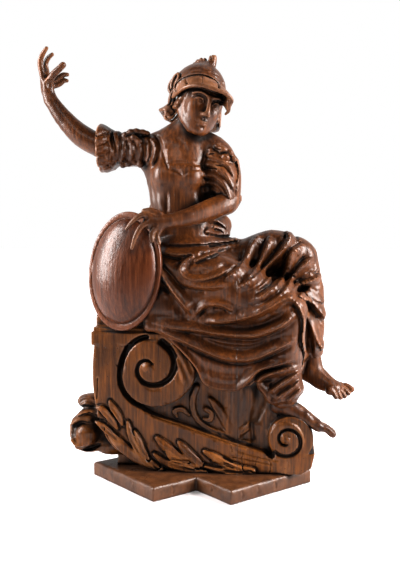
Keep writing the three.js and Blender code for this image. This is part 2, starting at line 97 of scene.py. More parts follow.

# %% [markdown]
# A drawn line has few points, so it is made into a curve. The radius that goes with each point is carried
# along, and a bar can swell and thin as it goes.

# %% Curves and soft joins
def smooth(points, steps):
    """A curve through the points, with their other numbers carried along."""
    p = np.array(points, float)
    p = np.vstack([2 * p[0] - p[1], p, 2 * p[-1] - p[-2]])
    line = []
    for a, b, c, d in zip(p, p[1:], p[2:], p[3:]):
        for t in np.arange(steps) / steps:
            line.append(b + t * (c - a) / 2 + t * t * (2 * a - 5 * b + 4 * c - d) / 2
                        + t ** 3 * (3 * b - a - 3 * c + d) / 2)
    line.append(p[-2])
    return np.array(line)


def blended(first, second, blend):
    """The smaller of two distances, with a soft join of that size."""
    if not blend:
        return np.minimum(first, second)
    overlap = np.maximum(blend - np.abs(first - second), 0) / blend
    return np.minimum(first, second) - overlap * overlap * blend / 4


print("three points make", len(smooth([[0, 0], [9, 0], [20, 5]], 3)), "on the curve")
print("two distances of 2 mm, joined softly over 4 mm:", blended(2, 2, 4))

# %% [markdown]
# ## Join and cut
# A form is a box and a function that gives the distance inside it, so only that part of the grid is worked on.

# %% Join and cut
class Timber(Grid):
    """A grid of wood that forms can be joined to and cut from."""

    def join(self, form, blend=0.0):
        low, high, distance = form
        margin = blend + 6 * self.step
        part, x, y, z = self.window(low - margin, high + margin)
        self.field[part] = blended(self.field[part], distance(x, y, z), blend)

    def cut(self, form, blend=0.0):
        low, high, distance = form
        margin = blend + 4 * self.step
        part, x, y, z = self.window(low - margin, high + margin)
        self.field[part] = -blended(-self.field[part], distance(x, y, z), blend)


trial = Timber([0, 0, 0], [20, 20, 20], 5)
trial.join((np.zeros(3), np.full(3, 20.0), lambda x, y, z: x + y + z - 12))
print("points in the wood after one join:", int((trial.field < 0).sum()))

# %% [markdown]
# ## Folds
# A cloth fold isn't round. Its long side falls slowly and its other side drops into a deep shade, so each fold
# is a crest with two slopes. Folds that are carved together don't add up: the highest one wins, and where two
# meet there is a sharp valley, as a gouge leaves it.

# %% The block
RIDGE_ROUND = 0.18               # how blunt the crest of a fold is, as a part of its width
LONG_SLOPE = 0.62                # how fast a leaning fold falls on its long side, and on its steep side
STEEP_SLOPE = 2.0


class Block(Timber):
    """Timber that folds and grooves can be carved along."""

    def laid(self, line, side=-1):
        """A line of X and Z laid on the wood as seen from the front (side -1) or from behind (1)."""
        count = np.array(self.field.shape) - 1
        depth = []
        for x, z in line:
            i = int(np.clip(round((x - self.low[0]) / self.step), 0, count[0]))
            k = int(np.clip(round((z - self.low[2]) / self.step), 0, count[2]))
            inside = np.flatnonzero(self.field[i, :, k] < 0)
            depth.append(self.low[1] + self.step * inside[0 if side < 0 else -1] if len(inside) else np.nan)
        depth = np.array(depth)
        known = np.flatnonzero(~np.isnan(depth))
        depth = np.interp(np.arange(len(depth)), known, depth[known])
        padded = np.pad(depth, 1, mode="edge")
        depth = (padded[:-2] + padded[1:-1] + padded[2:]) / 3
        return np.column_stack([line[:, 0], depth, line[:, 1]])

    def near(self, points, reach, lean=0, deep=0.45, steps=4):
        """How far the wood round a line is from it, how far along, and on which side of it.

        A line of X and Z alone is first laid on the front of the wood. Depth counts for less than width, by
        the factor deep.
        """
        line = smooth(points, steps)
        if line.shape[1] == 2:
            line = self.laid(line)
        low = line[:, :3].min(0) - reach * np.array([1, 0.6 / deep, 1])
        high = line[:, :3].max(0) + reach * np.array([1, 0.6 / deep, 1])
        part, x, y, z = self.window(low, high)
        nearest = np.full(self.field[part].shape, 1e9, np.float32)
        along = np.zeros_like(nearest)
        side = np.zeros_like(nearest)
        total = len(line) - 1
        for i, (a, b) in enumerate(zip(line, line[1:])):
            axis = b[:3] - a[:3]
            length = axis @ axis + 1e-6
            dx, dy, dz = x - a[0], y - a[1], z - a[2]
            t = np.clip((dx * axis[0] + dy * axis[1] + dz * axis[2]) / length, 0, 1)
            gap = (dx - t * axis[0]) ** 2 + ((dy - t * axis[1]) * deep) ** 2 + (dz - t * axis[2]) ** 2
            closer = gap < nearest
            nearest = np.where(closer, gap, nearest)
            along = np.where(closer, (i + t) / total, along)
            if lean:
                side = np.where(closer, (axis[0] * dz - axis[2] * dx) * lean, side)
        return part, np.sqrt(nearest), along, side

    def fold(self, points, width, height, lean=0, valley=0.25, deep=0.45):
        """A raised fold along a line; a negative height is a groove.

        With lean 1 its long slope is on the left of the line, seen from the front, and its steep side on
        the right; -1 is the other way about.
        """
        part, across, along, side = self.near(points, width * (2.6 if lean else 2.0), lean, deep)
        across = across / width
        if lean:
            across = across * np.where(side > 0, LONG_SLOPE, STEEP_SLOPE)
        ends = np.clip(np.minimum(along, 1 - along) * 6, 0.0, 1)
        ridge = np.maximum(1 - np.sqrt(across ** 2 + RIDGE_ROUND ** 2), 0) ** (1.0 if lean else 1.3)
        dip = np.maximum(1 - ((across - 1.25) / 0.6) ** 2, 0) ** 2
        if lean:
            dip = dip * (side < 0)
        self.field[part] -= height * ends * (ridge - valley * dip)

    def drape(self, folds, lean=1, valley=0.55, grow=1.0):
        """Many folds carved together; each is a line, a width and a height, and the highest wins."""
        relief = np.full_like(self.field, -1e9)
        weight = np.zeros_like(self.field)
        for points, width, height in folds:
            part, across, along, side = self.near(points, width * 3.4, lean, 0.4)
            slope = np.where(side > 0, LONG_SLOPE, STEEP_SLOPE)
            ends = np.clip(np.minimum(along, 1 - along) * 5 + 0.25, 0, 1)
            rise = 1 - np.sqrt((across / width * slope) ** 2 + 0.01)
            here = height * grow * (np.maximum(rise, -valley) * ends - valley * (1 - ends) * (rise > -valley))
            near_by = np.clip(2.2 - across / width * np.where(side > 0, 0.75, 1.4), 0, 1) * ends
            relief[part] = np.maximum(relief[part], here)
            weight[part] = np.maximum(weight[part], near_by)
        self.field -= np.where(relief > -1e8, relief, 0) * weight

print("slopes of a fold:", LONG_SLOPE, "and", STEEP_SLOPE)

# %% [markdown]
# ## The forms
# Four kinds of form are enough for the figure: a limb, which is a round bar of changing thickness through
# stations; a ball, which is an ellipsoid turned any way; a board, which is an outline with some thickness;
# and a turned ring. Each is its box and a function that gives the distance.

# %% Limb
def limb(stations, steps=3):
    """A bar through [x, y, z, radius] or [x, y, z, radius, radius in depth]."""
    line = smooth([[*s, s[3]] if len(s) == 4 else list(s) for s in stations], steps)
    size = line[:, 3:5].max()

    def distance(x, y, z):
        best = None
        for a, b in zip(line, line[1:]):
            axis = b[:3] - a[:3]
            length = axis @ axis + 1e-6
            dx, dy, dz = x - a[0], y - a[1], z - a[2]
            t = np.clip((dx * axis[0] + dy * axis[1] + dz * axis[2]) / length, 0, 1)
            radius = a[3] + t * (b[3] - a[3])
            depth = a[4] + t * (b[4] - a[4])
            gap = (dx - t * axis[0]) ** 2 + ((dy - t * axis[1]) * (radius / depth)) ** 2 + (dz - t * axis[2]) ** 2
            value = np.sqrt(gap) - radius
            best = value if best is None else np.minimum(best, value)
        return best
    return line[:, :3].min(0) - size, line[:, :3].max(0) + size, distance


print("a limb of radius 20 from the origin up starts at", limb([[0, 0, 0, 20], [0, 0, 100, 20]])[0])

# %% [markdown]
# A ball may be turned any way. An ellipsoid has no short formula for its distance, but this one is close near
# the surface, which is where it counts.

# %% Ball
def turned(degrees):
    """The rotation matrix of turns about X, then Y, then Z."""
    return np.array(Euler([math.radians(v) for v in degrees], "XYZ").to_matrix())


def ball(centre, radii, turn=(0, 0, 0)):
    """An ellipsoid."""
    centre, radii = np.array(centre, float), np.array(radii, float)
    m = turned(turn)
    size = np.sqrt((m ** 2) @ (radii ** 2))

    def distance(x, y, z):
        dx, dy, dz = x - centre[0], y - centre[1], z - centre[2]
        u, v, w = (dx * m[0, i] + dy * m[1, i] + dz * m[2, i] for i in range(3))
        k0 = np.sqrt((u / radii[0]) ** 2 + (v / radii[1]) ** 2 + (w / radii[2]) ** 2)
        k1 = np.sqrt((u / radii[0] ** 2) ** 2 + (v / radii[1] ** 2) ** 2 + (w / radii[2] ** 2) ** 2)
        return k0 * (k0 - 1) / np.maximum(k1, 1e-6)
    return centre - size, centre + size, distance


print("a ball of radius 40 reaches from", ball([0, 0, 0], [40, 40, 40])[0])

# %% [markdown]
# A board and a ring share one idea, the distance to a closed outline. The board gives it a thickness and
# the ring turns it about an axis.

# %% Board and ring
def outline_distance(outline, x, z):
    """The distance to a closed outline in the plane of X and Z, negative inside."""
    p = np.array(outline, float)
    best = None
    inside = False
    for a, b in zip(p, np.roll(p, -1, axis=0)):
        axis = b - a
        dx, dz = x - a[0], z - a[1]
        t = np.clip((dx * axis[0] + dz * axis[1]) / (axis @ axis + 1e-9), 0, 1)
        gap = (dx - t * axis[0]) ** 2 + (dz - t * axis[1]) ** 2
        best = gap if best is None else np.minimum(best, gap)
        crosses = (a[1] > z) != (b[1] > z)
        rise = axis[1] if axis[1] else 1e-9
        inside = inside ^ (crosses & (dx < axis[0] * dz / rise))
    return np.where(inside, -1, 1) * np.sqrt(best)


def board(outline, middle, half, edge=3.0):
    """An outline in X and Z, half as thick as said on each side of its middle in Y, with rounded edges."""
    p = np.array(outline, float)

    def distance(x, y, z):
        flat = outline_distance(p, x, z) + edge
        deep = np.abs(y - middle) - half + edge
        out = np.sqrt(np.maximum(flat, 0) ** 2 + np.maximum(deep, 0) ** 2)
        return out + np.minimum(np.maximum(flat, deep), 0) - edge
    low = np.array([p[:, 0].min(), middle - half, p[:, 1].min()])
    high = np.array([p[:, 0].max(), middle + half, p[:, 1].max()])
    return low, high, distance


def ring(centre, turn, profile, size):
    """A turned form about its own Z axis: profile gives [radius, height] of a closed outline."""
    centre = np.array(centre, float)
    m = turned(turn)
    p = np.array(profile, float)

    def distance(x, y, z):
        dx, dy, dz = x - centre[0], y - centre[1], z - centre[2]
        u, v, w = (dx * m[0, i] + dy * m[1, i] + dz * m[2, i] for i in range(3))
        return outline_distance(p, np.sqrt(u * u + v * v), w)
    return centre - size, centre + size, distance


print("the middle of a 20 mm square is", outline_distance([[0, 0], [20, 0], [20, 20], [0, 20]], 10, 10), "mm deep")

# %% [markdown]
# ## The scroll console
# She sits on a big S-shaped console sawn from a thick plank: a broad band sweeps down from the cap, under a
# large volute, and along the foot to a small volute. Behind the band the middle of the plank is sunk and
# carved with foliage. A spiral is a radius that shrinks as the angle grows, so its edge and its groove are
# one formula.

# %% The scroll's outline and volutes
SCROLL_MID = 17
BAND_HALF = 95
VOLUTE_HALF = 102
PANEL_HALF = 64
FACE = SCROLL_MID - BAND_HALF
EYE = (-142, 335)
SMALL_EYE = (257, 141)
SMALL_SWIRL = (245, 140)
SMALL_RADIUS = 63
SCROLL_FOOT = 40.3
OUTER_EDGE = [[-296, 400], [-301, 330], [-299, 262], [-284, 180], [-250, 110], [-186, 68], [-108, 48]]
FOOT_EDGE = [[-60, 40.3], [286, 40.3], [314, 60], [324, 102]]
INNER_EDGE = [[210, 96], [131, 116], [39, 144], [-51, 174], [-136, 201], [-183, 238], [-211, 290],
              [-216, 345], [-204, 400]]
LARGE_TURNS = [[12, 138], [40, 127], [70, 118], [90, 112], [135, 92], [180, 67], [225, 69], [270, 79], [315, 84],
               [360, 77], [405, 62], [450, 48], [495, 36], [540, 27], [600, 21], [660, 17], [700, 15]]
SMALL_TURNS = [[-300, 13], [-240, 16], [-180, 20], [-90, 28], [0, 39], [60, 45], [90, 47], [180, 47]]


def spiral(eye, turns, start, stop, count, grow=0.0):
    """Points of a spiral round an eye; angles run clockwise from +X."""
    angles = np.linspace(start, stop, count)
    radii = np.interp(angles, [t[0] for t in turns], [t[1] for t in turns])
    kernel = np.ones(5) / 5
    radii = np.convolve(np.pad(radii, 2, mode="edge"), kernel, "valid") + grow
    turn = np.radians(angles)
    return np.stack([eye[0] + radii * np.cos(turn), eye[1] - radii * np.sin(turn)], axis=1)


def at_depth(points, y, *more):
    """Points in X and Z, set at a depth in Y."""
    return [[x, y, z, *more] for x, z in points]


print("turns of the large volute:", LARGE_TURNS[-1][0] / 360)

# %% [markdown]
# The large volute is a ribbon that winds in to an eye. Outside, a deep channel parts it from the band, and a
# flange of wood runs from it to the skirt. Both faces of the plank are carved alike.

# %% The large volute
def carve_large_volute(wood):
    """The spiral ribbon, raised off the band, with a deep channel round it and a domed eye."""
    outer = spiral(EYE, LARGE_TURNS, 12, 318, 45)
    flange = [[-72, 408], [-30, 372], [-4, 330]]
    wood.join(board(np.vstack([outer, flange]), SCROLL_MID, VOLUTE_HALF, 6), 1)
    for side in (-1, 1):
        y = SCROLL_MID + side * VOLUTE_HALF
        channel = at_depth(spiral(EYE, LARGE_TURNS, 92, 268, 20, 7), y - side * 8, 7.5, 24)
        wood.cut(limb(channel, 1), 3)
        below = [[-150, 214], [-100, 214], [-62, 232], [-34, 250], [-12, 278]]
        wood.cut(limb(at_depth(below, y - side * 6, 6, 26), 2), 3)
        turn = spiral(EYE, LARGE_TURNS, 300, 690, 34)
        groove = [[x, y, z, r, 10 + 1.4 * r] for (x, z), r in zip(turn, np.linspace(10, 1.8, 34))]
        wood.cut(limb(groove, 1), 3)
        wood.join(ball([EYE[0] - 1, y - side * 4, EYE[1]], [14, 11, 14]), 2)
        for line in ([[-58, 388], [-36, 346], [-16, 300]], [[-66, 372], [-46, 328], [-38, 290]]):
            wood.fold(at_depth(line, y + side * 2), 9, 5)
        wood.cut(limb([[-8, y, 345, 6, 14], [4, y, 312, 7, 20], [-2, y, 276, 5, 14]]), 4)


print("channel reaches from", spiral(EYE, LARGE_TURNS, 92, 268, 20, 7)[0].round(), "mm")

# %% [markdown]
# At the foot the band rolls up once more, into a disc with a smaller swirl on it.

# %% The small volute
def carve_small_volute(wood):
    """The foot of the band rolls up into a smaller swirl with a button in its middle."""
    disc = [[SMALL_EYE[0] + SMALL_RADIUS * math.cos(t), SMALL_EYE[1] + SMALL_RADIUS * math.sin(t)]
            for t in np.linspace(0, 2 * math.pi, 32, endpoint=False)]
    wood.join(board(disc, SCROLL_MID, BAND_HALF, 5), 2)
    swirl = [[SMALL_SWIRL[0] + 48 * math.cos(t), SMALL_SWIRL[1] + 50 * math.sin(t)]
             for t in np.linspace(0, 2 * math.pi, 32, endpoint=False)]
    wood.join(board(swirl, SCROLL_MID, VOLUTE_HALF - 1, 5), 2)
    for side in (-1, 1):
        y = SCROLL_MID + side * (VOLUTE_HALF - 1)
        turn = spiral(SMALL_SWIRL, SMALL_TURNS, -290, 130, 34)
        groove = [[x, y, z, r, 10 + r] for (x, z), r in zip(turn, np.linspace(2, 6, 34))]
        wood.cut(limb(groove, 1), 3)
        wood.join(ball([SMALL_SWIRL[0] + 1, y - side * 4, SMALL_SWIRL[1]], [12, 10, 12]), 2)
        gap = [[206, 92], [190, 108], [186, 140], [192, 176], [206, 200]]
        wood.cut(limb(at_depth(gap, y - side * 10, 8, 34), 2), 4)


print("small volute radius:", SMALL_RADIUS, "mm")

# %% [markdown]
# The console is the band and the thinner panel behind it, the cap that she sits on, a raised seat at the back
# of the cap, and a short foot that stands on the plinth. The volutes come last, so that they cut into it all.

# %% The console
def carve_console():
    wood = Block([-385, -100, 36], [345, 134, 606], 2.5)
    edge = np.vstack([smooth(OUTER_EDGE, 4), FOOT_EDGE, smooth(INNER_EDGE, 4)])
    wood.join(board(edge, SCROLL_MID, BAND_HALF, 5))
    inside = np.vstack([smooth([[x + 6, z + 4] for x, z in OUTER_EDGE], 3),
                        [[60, 60], [228, 96], [222, 190], [236, 300], [120, 420], [-200, 420]]])
    wood.join(board(inside, SCROLL_MID, PANEL_HALF, 3), 5)
    wood.join(board([[-303, 394], [-60, 394], [-60, 432], [-303, 432]], SCROLL_MID, BAND_HALF + 3, 3))
    wood.join(board([[-298, 430], [-60, 430], [-60, 444], [-298, 444]], SCROLL_MID, BAND_HALF - 4, 3))
    wood.join(board([[-302, 430], [-302, 474], [-266, 480], [-236, 530], [-170, 580], [-60, 590],
                     [-60, 430]], 40, 70, 8), 4)
    wood.join(board([[-242, SCROLL_FOOT], [-40, SCROLL_FOOT], [-40, 120], [-232, 120]], SCROLL_MID, 52, 4))
    carve_large_volute(wood)
    carve_small_volute(wood)
    return wood


console = carve_console()
print("console grid:", console.field.shape)

# %% [markdown]
# ## Leaves, foliage and mouldings
# Acanthus leaves climb the band in three clusters, and one leaf rolls over backwards past the end of the
# console. A lobe is a flattened limb that starts narrow, swells and comes to a point, with a gouge groove
# along its middle. The grooves between lobes do more than the lobes themselves, because they hold the shade.

# %% The acanthus leaves
LEAVES = [
    # each lobe: its line from root to tip in X and Z, and its widest half width
    ([[-104, 46], [-144, 62], [-186, 86], [-232, 124], [-268, 172]], 17),
    ([[-112, 52], [-150, 78], [-176, 112], [-192, 148], [-200, 178]], 11),
    ([[-140, 74], [-156, 98], [-166, 126], [-180, 152]], 9),
    ([[-226, 124], [-252, 148], [-276, 168], [-292, 176]], 10),
    ([[-230, 160], [-250, 190], [-270, 212], [-286, 216]], 12),
    ([[-214, 170], [-228, 200], [-244, 222], [-250, 236]], 10),
    ([[24, 44], [-20, 48], [-58, 56], [-96, 68], [-124, 88]], 12),
    ([[0, 58], [-34, 72], [-66, 92], [-94, 114], [-116, 134]], 15),
    ([[16, 58], [-4, 74], [-24, 92], [-42, 110], [-54, 124]], 13),
    ([[-26, 70], [-52, 74], [-76, 80], [-90, 96]], 8),
    ([[156, 50], [120, 52], [84, 64], [48, 84], [18, 100]], 13),
    ([[150, 44], [108, 45], [64, 48], [20, 58]], 10),
    ([[96, 62], [70, 72], [46, 78]], 8),
]


def carve_leaf_lobe(wood, line, half, side):
    """One lobe on the front face (side -1) or the back face (side 1) of the band."""
    y = SCROLL_MID + side * (BAND_HALF - 1)
    shape = [0.55, 0.9, 1.0, 0.95, 0.45] if len(line) == 5 else [0.5, 1.0, 0.95, 0.45][:len(line)]
    stations = [[x, y, z, half * s, 15 * (0.4 + 0.6 * s)] for (x, z), s in zip(line, shape)]
    rim = [[x, y + side * 2, z, half * s + 4.0, 8] for (x, z), s in zip(line, shape)]
    wood.cut(limb(rim, 2), 4)
    wood.join(limb(stations), 1.5)
    middle = [[x, y + side * 12, z] for x, z in line[:-1]]
    wood.fold(middle, half * 0.6, -4.5)


for line, half in LEAVES:
    for side in (-1, 1):
        carve_leaf_lobe(console, line, half, side)

print("leaf lobes:", 2 * len(LEAVES))

# %% [markdown]
# One leaf leaves the band and rolls over backwards past the end of the console. It is a bar that curls on
# itself, filled with a few more bars, with ridges laid over the roll and two small buds on top.

# %% The rolled leaf
ROLL = [[-236, -5, 106, 36, 46], [-262, -5, 96, 34, 52], [-296, -5, 100, 27, 60], [-332, -5, 100, 24, 64],
        [-362, -5, 122, 19, 62], [-364, -5, 156, 17, 56], [-344, -5, 180, 16, 50], [-318, -5, 182, 14, 46],
        [-304, -5, 162, 12, 42]]
console.join(limb(ROLL), 6)
console.join(limb([[-326, -52, 134, 34], [-326, -20, 136, 43], [-326, 40, 136, 42]]), 6)
console.join(ball([-304, -2, 176], [32, 46, 30]), 8)
console.join(limb([[-278, 10, 110, 44, 50], [-292, 10, 150, 40, 50], [-286, 10, 190, 30, 44]]), 8)
CURLS = [
    ([[-372, 156], [-340, 172], [-300, 167]], 11, 9), ([[-360, 182], [-316, 194], [-276, 180]], 10, 8),
    ([[-374, 130], [-352, 104], [-320, 106], [-292, 118]], 11, 9), ([[-366, 104], [-334, 82], [-286, 90]], 11, 9),
]
console.drape(CURLS)
console.cut(limb([[-340, -66, 86, 3, 14], [-316, -66, 92, 8, 22], [-286, -62, 104, 3, 14]]), 4)
for y in (-22, 2, 24):
    console.fold([[-336, y, 74], [-380, y, 112], [-386, y, 150], [-350, y, 200], [-316, y, 200]], 8, -6, 0)
console.join(ball([-327, 4, 217], [40, 36, 23]), 5)
console.join(ball([-304, 30, 262], [18, 26, 21]), 5)
console.join(limb([[-300, 8, 150, 22, 36], [-296, 8, 215, 20, 34], [-292, 18, 262, 13, 26]]), 8)
console.fold([[-356, -24, 216], [-332, -30, 226], [-304, -28, 214]], 7, -6, 0)
console.fold([[-350, -20, 204], [-326, -28, 208], [-300, -28, 198]], 6, -5, 0)
print("ridges on the roll:", len(CURLS))

# %% [markdown]
# Between the band and her skirt the plank is sunk and carries a spray of stems and small leaves on each side.
# A gouged moulding follows the inner edge of the band.

# %% The sunk panel and its foliage
SPRAYS = [
    # stems and leaves on the sunk panel, in X and Z, with their half widths along the line
    ([[-8, 276], [-20, 232], [-4, 182], [46, 150], [112, 136]], (10, 9, 8, 7, 5)),
    ([[30, 244], [56, 212], [76, 176], [88, 144]], (6, 14, 13, 5)),
    ([[18, 214], [34, 204], [32, 184], [14, 186]], (8, 8, 7, 5)),
    ([[84, 146], [118, 152], [150, 178], [156, 196]], (5, 10, 9, 4)),
    ([[-28, 196], [-50, 212], [-70, 206], [-64, 190]], (5, 8, 8, 5)),
    ([[60, 150], [100, 126], [146, 122]], (8, 9, 4)),
]
for line, halves in SPRAYS:
    for side in (-1, 1):
        y = SCROLL_MID + side * PANEL_HALF
        console.join(limb([[x, y, z, half, 12] for (x, z), half in zip(line, halves)]), 3)
        console.fold([[x, y + side * 10, z] for x, z in line], max(halves) * 0.55, -3.5)

for side in (-1, 1):
    y = SCROLL_MID + side * (BAND_HALF - 3)
    moulding = [[x + 3, y - side * 6, z + 7, 5, 9] for x, z in smooth(INNER_EDGE, 2)[2:-8]]
    console.cut(limb([[a, b + side * 10, c - 11, 2.6, 9] for a, b, c, _, _ in moulding], 1), 2)

print("sprays:", 2 * len(SPRAYS))

# %% [markdown]
# Under the skirt the carver left a rough trunk of wood with gouge marks down it. The wood has shrunk since, and
# cracks run through the band and the foot. They are part of the object, so they are cut as well.

# %% The rough trunk and the cracks
console.join(limb([[96, 2, 150, 50, 62], [104, 2, 250, 52, 62], [96, 2, 340, 60, 66]]), 6)
console.join(limb([[176, 10, 110, 40, 56], [190, 10, 200, 44, 58], [186, 10, 320, 44, 58]]), 6)
for x, lean in ((66, 6), (78, 2), (91, -3), (104, 3), (118, -2), (131, 4), (142, 0)):
    console.fold([[x, -62, 168], [x + lean, -64, 226], [x - lean, -62, 290]], 6, -3.5, 0)
console.cut(limb([[152, -60, 130, 8, 22], [148, -64, 190, 7, 20], [160, -64, 260, 6, 18]]), 5)
console.cut(limb([[160, -66, 190, 16, 30], [172, -66, 236, 20, 34], [168, -66, 276, 16, 30]]), 8)

CRACKS = [
    [[126, -82, 100], [122, -82, 76], [128, -82, 48]],
    [[168, -82, 92], [160, -82, 66], [163, -82, 46]],
    [[196, -82, 88], [204, -82, 64], [200, -82, 44]],
    [[92, -82, 118], [96, -82, 100]],
    [[232, -84, 66], [238, -84, 44]],
    [[250, -84, 78], [247, -84, 46]],
    [[-262, -80, 190], [-268, -80, 120]],
    [[-286, -80, 300], [-289, -80, 240]],
]
for crack in CRACKS:
    console.cut(limb([[x, y, z, 1.7, 9] for x, y, z in crack], 2))
for patch in ([[96, 84], [150, 76], [206, 66]], [[110, 100], [168, 86], [222, 78]]):
    console.cut(limb([[x, FACE - 2, z, 1.6, 6] for x, z in patch], 2))
print("cracks:", len(CRACKS))

# %% [markdown]
# ## The seated body
# The body is built from the inside out, as a carver blocks it in: the trunk, the breasts and the shoulders,
# then the thighs and shins as plain bars, and only then the cloth over them. Soft joins of 20 to 40 mm
# turn the bars into one form.

# %% Trunk, shoulders and neck
figure = Block([-290, -196, 196], [448, 172, 1080], 2.5)

TORSO = [[-45, 25, 600, 105, 95], [-55, 20, 680, 94, 82], [-67, 15, 760, 76, 62], [-65, 8, 820, 84, 66],
         [-64, 4, 880, 93, 69], [-60, 14, 935, 88, 56], [-50, 22, 965, 60, 40]]
figure.join(limb(TORSO))
for centre in ((-97, -46, 868), (-26, -48, 866)):
    figure.join(ball(centre, [35, 31, 35]), 26)
figure.join(limb([[-150, 20, 912, 30], [-122, 14, 862, 30]]), 18)
figure.join(limb([[-150, 22, 962, 28], [-92, 24, 970, 30], [-40, 22, 976, 34], [30, 24, 950, 34]]), 22)
figure.join(limb([[-50, 22, 955, 46], [-42, 8, 1000, 37], [-22, -4, 1050, 36]]), 20)
figure.join(ball([-66, -26, 790], [60, 34, 60]), 30)
figure.cut(limb([[-47, -56, 960, 4], [-43, -52, 946, 5], [-44, -58, 934, 4]]), 12)
figure.fold([[-92, -36, 968], [-66, -44, 956], [-52, -46, 950]], 12, 3)
figure.fold([[10, -34, 962], [-14, -42, 953], [-34, -46, 949]], 12, 3)
print("body grid:", figure.field.shape)

# %% [markdown]
# The bodice is a smooth fitted one. Its straps, neckline and seams are cut lines, so they are narrow grooves, and
# a row of short nicks stands for the stitches along the neckline.

# %% The fitted bodice
STRAPS = [[[-125, 990], [-103, 939], [-87, 884]], [[21, 982], [16, 937], [4, 886]]]
SEAMS = [[[-90, 900], [-51, 902], [-17, 899], [12, 896]], [[-86, 884], [-66, 882], [-53, 875], [-42, 864]],
         [[-42, 864], [-31, 876], [-20, 881], [7, 883]], [[-90, 824], [-88, 795], [-91, 764]],
         [[-87, 900], [-86, 884]], [[10, 897], [7, 883]]]
for line in STRAPS:
    figure.fold(line, 7.5, -9, 0, 0, 0.6)
for line in SEAMS:
    figure.fold(line, 6.5, -7, 0, 0, 0.6)
for x in range(-76, 4, 9):
    figure.fold([[x, 895], [x, 888]], 3.4, -3, 0, 0, 0.6)
figure.fold([[-153, -10, 880], [-139, -24, 830], [-142, -22, 770], [-132, -40, 730]], 14, 5)
figure.fold([[-112, -40, 800], [-104, -52, 776], [-98, -56, 744]], 12, 4)
figure.fold([[-20, -50, 820], [-8, -46, 790], [-14, -56, 760]], 13, 5)

# %% [markdown]
# ## Sleeves
# Both sleeves are pushed up and tied with a knotted ruffle at the shoulder. The bar of each sleeve is lumpy to
# start with, and the folds run round it and gather at the knot. The raised sleeve ends in a rolled cuff with
# a dark gap behind it.

# %% The raised sleeve
figure.join(limb([[-96, 26, 944, 40, 42], [-132, 25, 946, 47, 50], [-160, 20, 944, 43, 46],
                  [-188, 16, 948, 49, 50], [-216, 14, 944, 45, 47], [-246, 10, 952, 48, 47]]), 14)
figure.join(limb([[-252, 8, 946, 43], [-268, 8, 940, 51]]), 5)
RAISED_FOLDS = [
    # line round the front of the sleeve, width, height
    ([[-240, 1002], [-232, 985], [-232, 950], [-240, 915], [-262, 890]], 13, 13),
    ([[-222, 1000], [-212, 984], [-208, 955], [-215, 922], [-232, 896]], 13, 13),
    ([[-200, 990], [-192, 968], [-186, 945], [-192, 914], [-206, 896]], 12, 12),
    ([[-178, 976], [-168, 952], [-166, 925], [-178, 902]], 11, 11),
    ([[-158, 990], [-143, 960], [-142, 925], [-156, 898]], 12, 11),
    ([[-148, 988], [-124, 958], [-124, 925], [-140, 888]], 12, 10),
    ([[-232, 30, 1000], [-226, 54, 975], [-226, 62, 940], [-240, 52, 905]], 14, 12),
    ([[-196, 30, 994], [-190, 56, 970], [-190, 62, 935], [-204, 50, 902]], 14, 12),
    ([[-160, 30, 990], [-154, 60, 962], [-152, 64, 930], [-164, 52, 900]], 14, 11),
]
figure.drape(RAISED_FOLDS, -1, grow=1.1)
for x, y, z, r in ((-212, -20, 984, 13), (-196, -24, 992, 12), (-180, -22, 994, 12), (-163, -20, 992, 11),
                   (-186, -34, 975, 11), (-172, -34, 966, 10), (-200, -34, 972, 9), (-152, -14, 990, 9)):
    figure.join(ball([x, y, z], [r, r, r * 0.8], [0, 20, 30]), 3)
for x, y, z, r in ((-222, -16, 902, 10), (-205, -18, 906, 11), (-188, -16, 908, 10), (-171, -18, 903, 11)):
    figure.join(ball([x, y, z], [r, 12, r], [0, 30, 0]), 4)

print("raised sleeve folds:", len(RAISED_FOLDS))

# %% [markdown]
# The cuff is a soft bell turned about the forearm, hollow where the arm comes out, with ribs where the cloth is
# gathered and a deep groove behind it.

# %% The rolled cuff
BELL = [[26, -26], [47, -28], [56, -12], [66, 14], [72, 34], [68, 46], [56, 48], [46, 40], [36, 12]]
CUFF_TURN = [0, -77, 0]
figure.join(ring([-266, 8, 943], CUFF_TURN, smooth(BELL, 2), 92), 4)
CUFF_RIBS = [[[-262, 1000], [-284, 990], [-306, 972]], [[-258, 978], [-286, 962], [-316, 950]],
             [[-256, 950], [-284, 934], [-312, 924]], [[-256, 918], [-276, 904], [-298, 900]],
             [[-256, 896], [-266, 886], [-280, 882]]]
for line in CUFF_RIBS:
    figure.fold(line, 16, 8, -1, 0.4)
figure.fold([[-256, 0, 1000], [-247, -38, 968], [-240, -46, 935], [-252, -30, 890]], 8, -13, 0)
figure.fold([[-256, 20, 1000], [-247, 54, 968], [-240, 58, 935], [-252, 44, 890]], 8, -13, 0)
print("cuff ribs:", len(CUFF_RIBS))

# %% [markdown]
# The lowered sleeve hangs in heavier folds from a knotted bunch of cloth at the shoulder. The lobes of the knot
# are small balls with a cut beside each.

# %% The lowered sleeve
figure.join(limb([[22, 24, 944, 48, 46], [42, 18, 918, 54, 52], [54, 10, 880, 50, 54], [64, 4, 848, 46, 54],
                  [70, 0, 822, 40, 46], [78, -8, 796, 32, 40]]), 12)
LOWERED_FOLDS = [
    ([[10, 926], [44, 915], [78, 892], [100, 845]], 13, 13),
    ([[4, 898], [42, 890], [76, 862], [99, 812]], 13, 14),
    ([[2, 868], [42, 862], [72, 834], [88, 782]], 12, 13),
    ([[0, 840], [30, 845], [58, 832], [78, 796]], 10, 11),
    ([[6, 816], [36, 824], [60, 812]], 9, 9),
    ([[92, 935], [106, 890], [104, 850], [100, 800]], 12, 9),
    ([[30, 60, 940], [60, 66, 905], [92, 48, 860], [100, 20, 810]], 14, 12),
    ([[10, 64, 905], [50, 68, 870], [84, 50, 820]], 14, 12),
]
figure.drape(LOWERED_FOLDS, grow=1.15)
